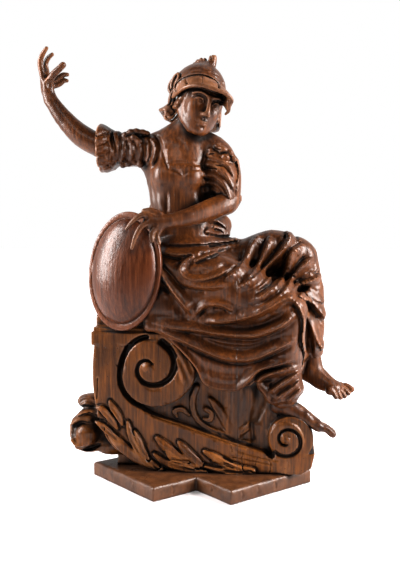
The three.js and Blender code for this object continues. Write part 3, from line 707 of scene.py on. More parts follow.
for x, y, z, r in ((64, -30, 940, 14), (82, -26, 932, 13), (72, -38, 918, 13), (54, -34, 908, 12),
                   (92, -24, 914, 11), (42, -36, 896, 10), (48, -26, 950, 11), (30, -28, 938, 10)):
    figure.join(ball([x, y, z], [r, r, r * 0.75], [0, 25, 20]), 3)
    figure.cut(limb([[x - r, y - r, z - r, 1.5, 6], [x, y - r - 2, z - r * 1.1, 2.5, 7],
                     [x + r, y - r, z - r, 1.5, 6]]), 2)
figure.join(limb([[0, 20, 860, 34, 44], [6, 18, 810, 34, 44], [4, 14, 760, 30, 42], [-6, 10, 716, 30, 44]]), 14)
print("lowered sleeve folds:", len(LOWERED_FOLDS))

# %% [markdown]
# ## Lap, legs and skirt
# The near thigh runs forward to the right and the near shin drops to a foot behind the small volute, while the
# far leg hangs free beside it. The skirt hangs between them as a thick apron that leaves the console's trunk
# in shadow.

# %% Thighs, shins and the hanging cloth
LEGS = [
    [[-80, -20, 585, 95, 85], [40, -46, 562, 92, 84], [140, -58, 530, 80, 76], [222, -64, 502, 64, 62]],
    [[226, -62, 510, 60, 58], [232, -60, 400, 56, 52], [236, -54, 312, 52, 46], [238, -50, 256, 38, 34]],
    [[-10, 62, 620, 84, 80], [105, 60, 626, 62, 72], [200, 58, 654, 66, 68], [262, 54, 636, 60, 60]],
    [[274, 52, 632, 52, 56], [304, 52, 545, 46, 50], [314, 52, 450, 39, 42], [317, 54, 372, 34, 36]],
]
for stations in LEGS:
    figure.join(limb(stations), 30)
figure.join(limb([[280, 40, 440, 26, 30], [284, 44, 350, 22, 28], [288, 50, 310, 14, 20]]), 10)
APRON = [[-150, 540], [-150, 442], [-105, 434], [-66, 406], [-18, 360], [10, 322], [36, 292], [72, 283],
         [112, 280], [152, 296], [206, 338], [258, 372], [270, 520], [60, 600]]
figure.join(board(smooth(APRON, 3), -70, 42, 20), 16)
figure.join(board([[-130, 640], [-150, 442], [-60, 434], [120, 420], [262, 430], [280, 600], [60, 660]],
                  92, 34, 22), 24)
figure.join(ball([-110, 20, 600], [70, 95, 95]), 26)
figure.join(limb([[-120, 70, 650, 40], [-20, 96, 668, 44], [42, 76, 728, 40, 42]]), 24)
figure.join(limb([[-112, 50, 836, 20], [-146, 48, 765, 19], [-158, 50, 680, 30]]), 14)
figure.cut(limb([[262, -10, 420, 10, 30], [272, -6, 330, 12, 30], [272, 0, 250, 16, 36]]), 8)
print("leg bars:", len(LEGS))

# %% [markdown]
# ## The folds of the skirt
# The cloth is pulled from the hip to the two knees. Flat bands lie round the waist, a loop of cloth turns back
# on itself in the lap, four strands run down from the far knee, and big curves sweep from the shield to the
# near knee and gather there. Each fold is a line with a width and a height, and the valleys beside it make the
# shade.

# %% The fold lines
SKIRT_FOLDS = [
    # line, width, height; the long slope is on the left of the line as seen from the front
    ([[-124, 680], [-21, 677], [68, 682], [116, 692]], 13, 9),
    ([[-118, 656], [-34, 648], [40, 664]], 13, 10),
    ([[118, 682], [50, 669], [-17, 647], [-44, 620], [-41, 599], [-16, 583], [25, 583], [71, 600],
      [108, 628]], 9, 13),
    ([[-13, 628], [17, 641], [60, 656]], 8, 7),
    ([[166, 712], [143, 682], [128, 642], [103, 606], [71, 583]], 13, 13),
    ([[194, 705], [181, 664], [158, 617], [124, 574]], 12, 11),
    ([[229, 720], [246, 698], [224, 661], [196, 631], [170, 605], [137, 579], [100, 552]], 12, 15),
    ([[290, 681], [254, 656], [244, 614], [224, 581], [185, 549], [140, 524]], 14, 16),
    ([[323, 642], [286, 623], [255, 587], [231, 552], [185, 519], [136, 487]], 13, 16),
    ([[346, 596], [307, 577], [265, 565], [209, 525], [172, 502]], 12, 13),
    ([[-120, 616], [-88, 581], [-52, 534], [-8, 482]], 15, 17),
    ([[-118, 644], [-67, 598], [-31, 568], [40, 562], [96, 572]], 12, 10),
    ([[-8, 480], [21, 509], [65, 515], [114, 489]], 10, 10),
    ([[-10, 466], [72, 468], [153, 487], [199, 511], [245, 534], [267, 521]], 15, 18),
    ([[-142, 470], [-74, 451], [-4, 445], [72, 434], [153, 430], [213, 451], [252, 477], [275, 498]], 14, 15),
    ([[-150, 452], [-90, 436], [-32, 412], [23, 388], [85, 367], [153, 368], [226, 401], [281, 431]], 14, 16),
    ([[-150, 446], [-88, 423], [-34, 376], [0, 335], [14, 302], [43, 284], [105, 279], [139, 305], [172, 339],
      [226, 354], [282, 370]], 9, 9),
    ([[246, 540], [271, 516], [286, 474], [284, 420], [292, 366], [281, 324]], 10, 12),
    ([[267, 546], [314, 510], [357, 457]], 13, 13),
    ([[269, 543], [296, 480], [325, 406], [352, 368]], 12, 13),
    ([[282, 548], [316, 522], [350, 508]], 13, 10),
    ([[281, 535], [290, 481], [316, 422], [324, 350]], 9, 9),
    ([[16, 744], [46, 738], [70, 716]], 10, 8),
    ([[26, 726], [54, 716], [64, 700]], 9, 7),
    ([[8, 714], [40, 704], [84, 702]], 10, 8),
]
HOLLOWS = [
    # broad hollows between the folds: line, width, depth
    ([[-117, 630], [-74, 600], [-11, 552], [51, 542], [105, 546]], 22, -11),
    ([[-90, 540], [-50, 500], [-20, 462]], 16, -8),
    ([[6, 453], [105, 450], [195, 470], [246, 498]], 20, -15),
    ([[-17, 408], [71, 400], [152, 402], [226, 430]], 20, -12),
    ([[10, 350], [60, 330], [130, 330], [200, 366]], 18, -8),
    ([[60, 622], [104, 612], [132, 622]], 14, -8),
    ([[262, 548], [282, 552], [306, 560]], 14, -14),
    ([[294, 500], [298, 440], [302, 380]], 11, -18),
    ([[-60, 428], [-20, 380], [10, 330]], 12, -6),
]
for line, width, depth in HOLLOWS:
    figure.fold(line, width, depth, 0, 0, 0.4)
figure.drape(SKIRT_FOLDS, grow=1.75, valley=0.6)

print("skirt folds:", len(SKIRT_FOLDS), "hollows:", len(HOLLOWS))

# %% [markdown]
# Over the near ankle the cloth bunches into a knot of short folds. The back of the skirt is seldom seen,
# so it is plainer: long hanging folds.

# %% The ankle and the back of the skirt
figure.join(limb([[186, -58, 290, 26, 36], [226, -58, 262, 34, 38], [272, -56, 280, 22, 30]]), 14)
ANKLE = [
    ([[290, 352], [226, 338], [176, 320], [164, 300], [184, 268], [206, 242], [284, 270]], 10, 11),
    ([[282, 338], [233, 304], [192, 274]], 11, 12),
    ([[283, 312], [247, 283], [212, 256]], 10, 11),
    ([[284, 290], [262, 268], [236, 248]], 8, 8),
]
figure.drape(ANKLE, grow=1.4)

for x0, x1, x2 in ((-96, -104, -110), (-44, -50, -62), (8, 6, -6), (60, 64, 50), (112, 122, 110), (164, 178, 170),
                   (214, 232, 232)):
    figure.fold([[x0, 118, 650], [x1, 128, 560], [x2, 124, 446]], 24, 14, 1, 0.3)
print("ankle folds:", len(ANKLE))

# %% [markdown]
# ## Bare feet
# Both feet hang free with the toes to the right. A foot is one bar from heel to instep to ball, with five
# short bars for toes. They get a finer grid than the cloth, because a toe is only 15 mm thick.

# %% The feet
FEET = {
    # the bar of each foot, its heel, where the toes spring from and where they end
    "far": {
        "bar": [[318, 55, 352, 26, 28], [320, 52, 310, 32, 27], [344, 42, 286, 29, 27], [384, 26, 266, 19, 29]],
        "heel": [300, 54, 302], "roots": [[396, 42, 268], [366, 0, 262]],
        "tips": [[428, 36, 262], [419, 24, 253], [408, 11, 247], [396, 0, 245], [383, -9, 247]],
    },
    "near": {
        "bar": [[236, -46, 262, 28, 28], [243, -46, 230, 27, 27], [278, -48, 208, 25, 26], [324, -52, 182, 16, 28]],
        "heel": [220, -44, 224], "roots": [[334, -72, 176], [324, -30, 178]],
        "tips": [[371, -74, 158], [373, -61, 160], [369, -49, 163], [361, -38, 165], [351, -30, 168]],
    },
}
TOE_RADII = [10.5, 8.5, 8, 7.5, 7]


def carve_feet():
    wood = Block([196, -100, 130], [446, 100, 372], 2.0)
    for foot in FEET.values():
        wood.join(limb(foot["bar"], 4), 8)
        wood.join(ball(foot["heel"], [22, 20, 20]), 14)
        first, last = np.array(foot["roots"], float)
        wood.join(limb([[*first, 14], [*last, 12]]), 10)
        for part, tip, radius in zip(np.linspace(0, 1, 5), foot["tips"], TOE_RADII):
            tip = np.array(tip, float)
            root = first + (last - first) * part
            knuckle = (root * 0.45 + tip * 0.55) + [0, 0, 5]
            wood.join(limb([[*root, radius], [*knuckle, radius * 0.95], [*tip, radius]]), 3)
            nail = tip + [radius * 0.45, 0, radius * 0.72]
            wood.fold([nail - [6, 0, -2], nail, nail + [4, 0, -4]], 4, -1.2, 0)
    wood.join(ball([300, -66, 206], [9, 7, 10]), 8)
    wood.join(ball([312, 30, 318], [9, 7, 10]), 8)
    return wood


feet = carve_feet()
print("feet grid:", feet.field.shape)

# %% [markdown]
# ## Head and helmet
# The head is carved upright in its own frame, with its middle at the origin and its face to -Y, then tilted into
# place on the neck. The face is a plain calm one by the usual rule: eyes half way down, the nose and brow at
# thirds of the face, five eye widths across. The helmet is a dome with a low crest, a broad brim turned down
# over the brow, and a flared guard for the neck.

# %% The face
HEAD_SET = np.array([-2, -14, 1078], float)
HEAD_TURN = (14, 15, 30)


def carve_face():
    wood = Block([-96, -112, -118], [96, 100, 96], 1.5)
    wood.join(ball([0, 10, 22], [62, 78, 70]))
    wood.join(ball([0, -16, -26], [50, 56, 52]), 26)
    wood.join(ball([0, -44, -58], [31, 30, 30]), 24)
    wood.join(ball([0, -62, -80], [13, 11, 11]), 16)
    for s in (-1, 1):
        wood.join(ball([s * 29, -50, -24], [17, 16, 20]), 20)
        wood.join(limb([[s * 52, -2, -22, 12], [s * 42, -22, -54, 12], [s * 20, -46, -76, 11]]), 20)
        wood.cut(ball([s * 25, -79, 1], [17, 12, 10], [0, 0, s * -16]), 14)
        wood.join(ball([s * 25, -55.5, -1], [12.5, 12, 11]), 2)
        lid = [[s * 12, -66, -3], [s * 18, -69.5, 3], [s * 26, -69.5, 5.5], [s * 34, -65, 3], [s * 39, -58, -3]]
        wood.join(limb([[*p, 2.0] for p in lid]), 2.5)
        low = [[s * 13, -65, -4], [s * 20, -67.5, -7.5], [s * 28, -66, -8], [s * 38, -58, -4]]
        wood.join(limb([[*p, 1.6] for p in low]), 3)
        wood.fold([[s * 13, -68, 9], [s * 25, -71, 12], [s * 38, -62, 8]], 4, -1.6, 0)
        brow = [[s * 8, -75, 15], [s * 20, -75, 19], [s * 34, -68, 19], [s * 46, -54, 12]]
        wood.join(limb([[*p, 3.4] for p in brow]), 10)
        wood.join(ball([s * 7.5, -80, -33], [5.5, 8, 5.5]), 5)
        wood.cut(ball([s * 4.6, -86, -38.5], [2.6, 4.5, 2]), 2)
    wood.join(limb([[0, -72, 14, 5.5], [0, -79, -4, 5.2], [0, -86, -20, 6], [0, -89, -30, 7.2]], 4), 8)
    upper = [[-17, -68, -56, 2], [-7, -75.5, -52.5, 4], [0, -77, -53.5, 3.8], [7, -75.5, -52.5, 4],
             [17, -68, -56, 2]]
    wood.join(limb(upper, 4), 4)
    lower = [[-14, -68, -58, 2], [-6, -73.5, -60.5, 4.6], [6, -73.5, -60.5, 4.6], [14, -68, -58, 2]]
    wood.join(limb(lower, 4), 4)
    mouth = [[-18, -71, -57, 0.8], [-7, -80, -56, 1.2], [0, -82, -57, 1.2], [7, -80, -56, 1.2],
             [18, -71, -57, 0.8]]
    wood.cut(limb(mouth, 4), 2)
    wood.fold([[-10, -72, -69], [0, -75, -68], [10, -72, -69]], 6, -2.2, 0)
    wood.fold([[0, -80, -44], [0, -78, -49]], 3.5, -1.5, 0)
    for s in (-1, 1):
        for k in range(4):
            x, z = s * (52 + 2 * k), 10 - 12 * k
            wood.join(limb([[x, -30 + 6 * k, z, 5], [x + s * 6, -14, z - 10, 6.5], [x + s * 5, 8, z - 16, 6.5],
                            [x, 26, z - 22, 5]]), 3)
    return wood


head = carve_face()
print("face grid:", head.field.shape)

# %% [markdown]
# The helmet has its own grid, upright in the carving's frame, because its brim and neck guard are easiest to
# place there. Both are thin flared sheets: spokes run from a curve on the dome to a curve on the rim, and
# their soft joins close them into a sheet.

# %% Brim and neck guard
HELMET_SET = HEAD_SET + turned(HEAD_TURN) @ np.array([-6, 16, 18.0])
BRIM_BASE = [[-74, -22, 1098], [-68, -44, 1108], [-50, -64, 1119], [-20, -78, 1128], [12, -82, 1128],
             [40, -72, 1118], [60, -52, 1102], [67, -38, 1082], [60, -46, 1062]]
BRIM_RIM = [[-75, -30, 1086], [-62, -58, 1089], [-40, -86, 1099], [-12, -106, 1103], [18, -116, 1100],
            [50, -114, 1090], [78, -102, 1080], [92, -88, 1064], [79, -74, 1046]]
GUARD_BASE = [[-74, -16, 1086], [-84, 10, 1082], [-84, 44, 1082], [-66, 76, 1074], [-26, 92, 1064],
              [14, 84, 1054], [40, 60, 1050], [50, 34, 1050]]
GUARD_RIM = [[-80, -34, 1054], [-110, -8, 1055], [-121, 40, 1060], [-104, 98, 1040], [-44, 124, 1022],
             [8, 118, 1012], [36, 84, 1008], [47, 38, 1014]]


def flared_sheet(wood, base, rim, spokes, thick, bulge, rim_thick):
    """A sheet from one curve to another, bulged outwards half way, with a rolled rim."""
    inner = smooth(base, 8)
    outer = smooth(rim, 8)
    pick = np.linspace(0, len(inner) - 1, spokes).astype(int)
    for a, b in zip(inner[pick], outer[pick]):
        middle = (a + b) / 2 + np.array([0, 0, bulge])
        wood.join(limb([[*a, thick], [*middle, thick], [*b, thick * 0.9]]), 5)
    wood.join(limb([[*p, rim_thick] for p in rim], 5), 3)


print("brim points:", len(BRIM_RIM), "guard points:", len(GUARD_RIM))

# %% [markdown]
# The dome is one ball turned like the head, cut away where the face looks out. A low crest of curls runs over
# it and ends at the front in a broken stump with a split in it.

# %% Dome and crest
def carve_dome(wood):
    wood.join(ball(HELMET_SET, [75, 88, 84], HEAD_TURN))
    m = turned(HEAD_TURN)

    def under(x, y, z):
        dx, dy, dz = x - HEAD_SET[0], y - HEAD_SET[1], z - HEAD_SET[2]
        u, v, w = (dx * m[0, i] + dy * m[1, i] + dz * m[2, i] for i in range(3))
        front = np.maximum(w - 30 + 0.002 * u * u, v - 26)
        lower = w + 14 - 0.15 * v
        return np.minimum(front, lower)
    wood.cut((HEAD_SET - 130, HEAD_SET + 130, under), 3)


def carve_crest(wood):
    ridge = [[38, -44, 1150, 6, 8], [26, -24, 1170, 9, 9], [6, 8, 1183, 11, 11], [-14, 34, 1184, 10, 10],
             [-34, 62, 1168, 7, 9]]
    wood.join(limb(ridge), 6)
    for x, y, z in ((-24, 34, 1188), (-13, 24, 1194), (-2, 14, 1196), (9, 4, 1193)):
        wood.join(ball([x, y, z], [6.5, 8, 6], [0, 0, 30]), 3)
        wood.fold([[x - 5, y - 12, z - 4], [x - 4, y, z + 5]], 4, -3, 0)
    wood.join(limb([[25, -8, 1166, 14, 13], [31, -5, 1182, 12.5, 12], [33, -4, 1196, 11.5, 11]]), 4)
    wood.cut(limb([[28, -20, 1208, 1.8, 14], [30, -16, 1188, 1.5, 10]]), 1)
    wood.cut(ball([33, -4, 1203], [7, 7, 5]), 2)


print("middle of the dome:", HELMET_SET.round())

# %% [markdown]
# A cut line and a raised one run round the dome above the brim. A leaf lies on its left and a small rosette on
# its right, and a few curls of hair show inside the guard.

# %% The helmet's trim
def carve_helmet_trim(wood):
    band = [[-70, -40, 1106], [-52, -66, 1122], [-20, -80, 1131], [14, -84, 1131], [42, -74, 1120], [62, -52, 1104]]
    wood.fold([[x, y, z + 1] for x, y, z in band], 4.5, -5, 0)
    wood.fold([[x, y, z + 8] for x, y, z in band], 5, 2.5, 0)
    # the leaf on the left of the dome
    leaf = [
        [[-76, -22, 1098, 7], [-80, -20, 1122, 6.5], [-72, -26, 1142, 5], [-64, -30, 1150, 4]],
        [[-74, -26, 1100, 6], [-64, -44, 1120, 6], [-56, -50, 1138, 5], [-60, -44, 1148, 3.5]],
        [[-80, -16, 1098, 6], [-90, -6, 1112, 5.5], [-88, -6, 1128, 4.5], [-82, -12, 1136, 3.5]],
        [[-76, -22, 1104, 6], [-84, -22, 1088, 6], [-88, -18, 1072, 5]],
    ]
    for bar in leaf:
        wood.cut(limb([[*s[:3], s[3] + 2.5] for s in bar]), 3)
        wood.join(limb(bar), 1.5)
    for line in ([[-72, -46, 1100], [-64, -56, 1110], [-60, -58, 1122]], [[-70, -34, 1150], [-58, -44, 1158]]):
        wood.fold(line, 5, -4, 0)
    # the small rosette on the right
    for k in range(5):
        angle = 2 * math.pi * k / 5
        wood.join(ball([57 + 7 * math.cos(angle), -38, 1120 + 7 * math.sin(angle)], [5, 6, 5]), 2)
    wood.fold([[24, -62, 1146], [40, -58, 1142], [54, -44, 1134]], 5, -3.5, 0)
    wood.fold([[-30, -58, 1150], [0, -66, 1152], [24, -62, 1146]], 6, -2, 0)


def carve_helmet():
    wood = Block([-150, -136, 990], [110, 142, 1226], 1.7)
    carve_dome(wood)
    flared_sheet(wood, BRIM_BASE, BRIM_RIM, 30, 5.0, 5, 5.0)
    flared_sheet(wood, GUARD_BASE, GUARD_RIM, 34, 4.5, -2, 4.6)
    wood.join(limb([[84, -88, 1062, 5], [84, -78, 1040, 4.5], [74, -66, 1032, 3.5]], 4), 4)
    carve_crest(wood)
    carve_helmet_trim(wood)
    # curls of hair that show inside the guard
    for dx, dz, r in ((0, 0, 8), (8, -10, 7), (-3, -14, 6)):
        wood.join(limb([[-84 + dx, -34, 1056 + dz, r], [-94 + dx, -36, 1046 + dz, r * 0.9],
                        [-88 + dx, -40, 1038 + dz, r * 0.7], [-80 + dx, -38, 1044 + dz, r * 0.5]]), 2)
    return wood


helmet = carve_helmet()
print("helmet grid:", helmet.field.shape)

# %% [markdown]
# ## Arms and hands
# The raised forearm comes out of the rolled cuff and ends in a slender open hand: two fingers rise and bend
# over, two reach to the right, and the thumb points the same way. Fingers are bars with a joint in the middle,
# on a fine grid, with small grooves over the knuckles and the wrist.

# %% The raised forearm and hand
RAISED_ARM = [[-262, 6, 946, 36], [-284, 2, 954, 34], [-346, -5, 988, 32], [-394, -12, 1036, 26],
              [-430, -18, 1088, 19]]
RAISED_HAND = [
    [[-429, -18, 1084, 19, 15], [-438, -20, 1114, 19, 13], [-441, -22, 1144, 18, 11]],
    [[-446, -28, 1138, 9], [-452, -30, 1168, 8.5], [-455, -31, 1192, 8], [-447, -34, 1212, 7],
     [-434, -38, 1228, 5.5]],
    [[-438, -14, 1140, 9], [-444, -12, 1172, 8.5], [-446, -12, 1190, 8], [-437, -14, 1206, 7],
     [-424, -18, 1215, 5.5]],
    [[-434, -10, 1138, 8.5], [-412, -4, 1150, 8], [-398, -4, 1160, 7.2], [-384, -6, 1160, 5.8]],
    [[-432, -10, 1126, 8.5], [-410, -2, 1134, 7.8], [-396, -2, 1144, 7], [-386, -4, 1143, 5.6]],
    [[-434, -30, 1130, 11], [-416, -40, 1152, 10.5], [-398, -46, 1166, 9.5], [-384, -48, 1178, 9]],
]


def carve_raised_arm():
    wood = Block([-478, -76, 898], [-226, 48, 1250], 2.0)
    wood.join(limb([[*s[:3], s[3], s[3] * 0.95] for s in RAISED_ARM], 4))
    wood.join(limb([[-300, -12, 962, 22], [-340, -18, 980, 20], [-372, -20, 1010, 14]]), 14)
    for bar in RAISED_HAND:
        wood.join(limb(bar, 4), 5)
    wood.join(ball([-436, -30, 1124], [13, 9, 18], [0, 0, 10]), 8)
    wood.cut(ball([-424, -38, 1128], [10, 8, 14]), 8)
    for x, y, z in ((-450, -40, 1146), (-440, -24, 1150), (-424, -16, 1146)):
        wood.fold([[x - 6, y, z - 4], [x, y, z], [x + 6, y, z + 3]], 4, -1.5, 0)
    wood.fold([[-452, -36, 1097], [-438, -42, 1090], [-418, -36, 1096]], 4, -2.0, 0)
    wood.fold([[-450, -36, 1085], [-436, -40, 1078], [-414, -34, 1084]], 4, -1.4, 0)
    return wood


raised_arm = carve_raised_arm()
print("raised arm grid:", raised_arm.field.shape)

# %% [markdown]
# The other forearm comes forward across her waist. Its hand lies over the edge of the shield with the fingers
# spread on the dome, and the wrist is the highest point.

# %% The lowered forearm and hand
LOWERED_ARM = [[84, -6, 806, 32], [66, -34, 790, 31], [34, -58, 774, 30], [-24, -100, 752, 25], [-76, -128, 740, 19]]
LOWERED_HAND = [
    [[-76, -128, 740, 19, 16], [-100, -138, 738, 22, 14], [-122, -142, 738, 20, 13]],
    [[-114, -142, 750, 9], [-140, -151, 757, 8], [-164, -155, 742, 7], [-184, -152, 720, 5]],
    [[-120, -146, 740, 9], [-143, -156, 726, 8], [-158, -160, 700, 7], [-169, -158, 668, 4.5]],
    [[-106, -144, 726, 9], [-116, -151, 708, 8], [-115, -153, 688, 6]],
    [[-94, -138, 722, 9], [-103, -144, 702, 8], [-97, -145, 682, 6]],
    [[-96, -134, 758, 10], [-118, -140, 768, 9], [-138, -144, 768, 7]],
]


def carve_lowered_arm():
    wood = Block([-204, -182, 648], [124, 32, 846], 2.0)
    wood.join(limb([[*s[:3], s[3], s[3] * 0.95] for s in LOWERED_ARM], 4))
    wood.join(ball([70, -18, 786], [30, 30, 27]), 14)
    for bar in LOWERED_HAND:
        wood.join(limb(bar, 4), 5)
    wood.fold([[-66, -150, 756], [-74, -152, 742], [-70, -148, 728]], 5, -2, 0)
    return wood


lowered_arm = carve_lowered_arm()
print("lowered arm grid:", lowered_arm.field.shape)

# %% [markdown]
# ## The shield
# The shield is a turned-looking oval with a plain rim, a line cut beside the rim and a smooth domed face. It
# stands on the console's ledge and leans against her hip. It is carved in its own frame, facing -Y, and then
# turned into place.

# %% Carve the shield
SHIELD_SET = np.array([-205, -86, 603], float)
SHIELD_TURN = (-4, 5, -19)
SHIELD_HALF_WIDTH = 115
SHIELD_HALF_HEIGHT = 166
SHIELD_DOME = 40
SHIELD_RIM = 9


def carve_shield():
    wood = Block([-124, -58, -176], [124, 24, 176], 2.0)
    low, high = np.array([-118, -52, -170.0]), np.array([118, 18, 170.0])

    def distance(x, y, z):
        out = np.sqrt((x / SHIELD_HALF_WIDTH) ** 2 + (z / SHIELD_HALF_HEIGHT) ** 2)
        edge = (out - 1) * 130
        inner = np.clip(1 - (out / 0.88) ** 2, 0, 1)
        front = -SHIELD_RIM / 2 - SHIELD_DOME * inner ** 0.62
        front = front + 2.6 * np.exp(-((out - 0.885) / 0.014) ** 2)
        back = SHIELD_RIM / 2 + 4 - 10 * np.clip(1 - out ** 2, 0, 1)
        sheet = np.maximum((front - y) * 0.85, y - back)
        corner = np.sqrt(np.maximum(sheet + 3, 0) ** 2 + np.maximum(edge + 3, 0) ** 2) - 3
        return np.where((sheet > -3) & (edge > -3), corner, np.maximum(sheet, edge))
    wood.join((low, high, distance))
    for crack in ([[18, -46, 60], [20, -46, 20], [17, -44, -30]],
                  [[-26, -46, -20], [-24, -40, -90], [-27, -30, -128]]):
        wood.fold(crack, 2.6, -1.8, 0)
    return wood


shield_wood = carve_shield()
print("shield grid:", shield_wood.field.shape)

# %% [markdown]
# ## The plinth
# The plinth is a 40 mm board cut as two diamonds side by side, so that two corners come forward with a notch
# between them. The top edges are worn round and the ends show checks in the grain.

# %% Carve the plinth
PLINTH_REACH = 212
PLINTH_OFFSET = 103
PLINTH_HEIGHT = 40
WORN_EDGE = 9.0                  # the radius that wear has left on the top edges
UNDER_EDGE = 2.0


def carve_plinth():
    wood = Block([-322, -220, -6], [322, 220, 48], 2.5)
    low, high = np.array([-318, -214, 0.0]), np.array([318, 214, PLINTH_HEIGHT + 0.0])

    def distance(x, y, z):
        diamonds = [(np.abs(x - middle) + np.abs(y) - PLINTH_REACH) / math.sqrt(2)
                    for middle in (-PLINTH_OFFSET, PLINTH_OFFSET)]
        plan = np.minimum(*diamonds) + 1.2 * np.sin(x / 23) * np.sin(y / 31 + 1)
        top = z - PLINTH_HEIGHT + WORN_EDGE
        side = plan + WORN_EDGE
        rounded = np.sqrt(np.maximum(top, 0) ** 2 + np.maximum(side, 0) ** 2) - WORN_EDGE
        upper = np.where((top > 0) | (side > 0), rounded, np.maximum(top, side) - WORN_EDGE)
        under = np.sqrt(np.maximum(UNDER_EDGE - z, 0) ** 2 + np.maximum(plan + UNDER_EDGE, 0) ** 2)
        under = under - UNDER_EDGE
        return np.maximum(upper, np.maximum(under, -z))
    wood.join((low, high, distance))
    for x, y, dx in ((-210, -100, 20), (-150, -160, 12), (60, -165, -14), (150, -160, 18), (230, -80, 12)):
        wood.fold([[x, y, 40], [x + dx, y + 26, 40], [x + dx * 2, y + 54, 41]], 3.5, -3, 0)
    for x, y in ((-176, -136), (-60, -166), (44, -152), (128, -184), (168, -144), (214, -98)):
        wood.fold([[x, y, 32], [x + 4, y, 20], [x + 1, y, 8]], 3.5, -3.5, 0)
    return wood


plinth_wood = carve_plinth()
print("plinth grid:", plinth_wood.field.shape)

# %% [markdown]
# ## From grid to mesh
# OpenVDB finds the surface of each grid and puts larger faces where it is flat. Every point is told how deep it
# lies in a hollow and how sharp a crest it is on, by asking the distance a little way out and a little way in.
# The finish uses both: hands rub the crests bright, and the hollows are painted darker, partly for the stain and old
# wax that stay there and partly as painted shade.

# %% Place the blocks
CARVING_SET = 10.0               # the carving stands this far behind the middle of the plinth


class Placed:
    """A block with where it stands: a turn and a move out of its own frame, in millimetres."""

    def __init__(self, wood, turn=(0, 0, 0), move=(0, 0, 0), set_back=CARVING_SET):
        self.wood = wood
        self.turn = turned(turn)
        self.move = np.array(move, float) + [0, set_back, 0]

    def out(self, points):
        return points @ self.turn.T + self.move

    def distance(self, points):
        return self.wood.sample((points - self.move) @ self.turn)


PLACED = {
    "scroll_console": Placed(console),
    "body_and_dress": Placed(figure),
    "bare_feet": Placed(feet),
    "head": Placed(head, HEAD_TURN, HEAD_SET),
    "helmet": Placed(helmet),
    "raised_arm": Placed(raised_arm),
    "lowered_arm": Placed(lowered_arm),
    "oval_shield": Placed(shield_wood, SHIELD_TURN, SHIELD_SET),
    "plinth_board": Placed(plinth_wood, set_back=0),
}


def whole_distance(points):
    """The distance to the nearest of all the blocks."""
    return np.min([placed.distance(points) for placed in PLACED.values()], axis=0)


print("blocks placed:", len(PLACED))

# %% [markdown]
# Deep shade is wider than a fold: the trunk under the skirt and the gap between the knees get little light at
# all. A coarse block that is 1 in the wood and 0 in the air, blurred twice, tells how closed in a place is. The
# finish paints closed-in places dark, as painted shade.

# %% The deep shade
def blurred(field, half):
    """The field averaged over a box, along each axis in turn."""
    for axis in range(3):
        total = np.cumsum(np.pad(field, [(half + 1, half) if a == axis else (0, 0) for a in range(3)], "edge"), axis)
        upper = np.take(total, np.arange(2 * half + 1, total.shape[axis]), axis)
        lower = np.take(total, np.arange(total.shape[axis] - 2 * half - 1), axis)
        field = (upper - lower) / (2 * half + 1)
    return field


SHADE_STEP = 8.0
shade = Block([-500, -250, -20], [480, 260, 1270], SHADE_STEP)
axes = [shade.low[a] + SHADE_STEP * np.arange(shade.field.shape[a]) for a in range(3)]
spots = np.stack(np.meshgrid(*axes, indexing="ij"), axis=-1).reshape(-1, 3)
shade.field = (whole_distance(spots) < 0).astype(np.float32).reshape(shade.field.shape)
shade.field = blurred(blurred(shade.field, 3), 3)
print("most closed in:", round(float(shade.field.max()), 2))

# %% [markdown]
# The mesh also gets its normals from the grid, because the distances are finer than the faces.

# %% Mesh a block
HOLLOW_REACH = (9.0, 18.0, 28.0)
CREST_REACH = (5.0, 11.0)
SHADE_OUT = 34.0
FLAT_FACES = 0.25                # how freely faces may grow where the wood is flat, from 0 to 1


def outwards(wood, points):
    """The direction out of the wood at points on its surface."""
    steps = [wood.sample(points + axis * wood.step) - wood.sample(points - axis * wood.step) for axis in np.eye(3)]
    slope = np.stack(steps, axis=1) / (2 * wood.step)
    return slope / (np.linalg.norm(slope, axis=1, keepdims=True) + 1e-6)


def mesh_of(name):
    placed = PLACED[name]
    wood = placed.wood
    limit = 3 * wood.step
    grid = openvdb.FloatGrid()
    grid.background = limit
    field = np.pad(np.clip(wood.field, -limit, limit), 1, constant_values=limit)
    grid.copyFromArray(np.ascontiguousarray(field, dtype=np.float32))
    points, triangles, quads = grid.convertToPolygons(isovalue=0.0, adaptivity=FLAT_FACES)
    own = (points - 1) * wood.step + wood.low
    normal = outwards(wood, own) @ placed.turn.T
    where = placed.out(own)
    mesh = bpy.data.meshes.new(name)
    faces = triangles.tolist() + quads.tolist()
    mesh.from_pydata((where / 1000).tolist(), [], faces)
    # hollow says how closed in each point is; the finish paints it dark, partly for stain and partly as painted
    # shade
    hollow = np.zeros(len(where), np.float32)
    for reach in HOLLOW_REACH:
        hollow += np.clip(1 - whole_distance(where + normal * reach) / (reach * 0.9), 0, 1.3) / len(HOLLOW_REACH)
    # the deep shade of the coarse block goes into hollow too, so the finish paints it as shade
    deep = np.clip((shade.sample(where + normal * SHADE_OUT) - 0.22) / 0.34, 0, 1)
    hollow = np.maximum(hollow, deep) * 0.55 + 0.45 * (1 - (1 - np.clip(hollow, 0, 1)) * (1 - deep))
    crest = np.zeros(len(where), np.float32)
    for reach in CREST_REACH:
        crest += np.clip(1 + whole_distance(where - normal * reach) / (reach * 0.85), 0, 1) / len(CREST_REACH)
    for label, values in (("hollow", hollow), ("crest", crest)):
        mesh.attributes.new(label, "FLOAT", "POINT").data.foreach_set("value", values.astype(np.float32))
    mesh.shade_smooth()
    mesh.update()
    mesh.normals_split_custom_set_from_vertices(normal.tolist())
    piece = bpy.data.objects.new(name, mesh)
    bpy.context.collection.objects.link(piece)
    print(f"{name}: {sum(len(face) - 2 for face in faces)} triangles")
    return piece


PIECES = {name: mesh_of(name) for name in PLACED}
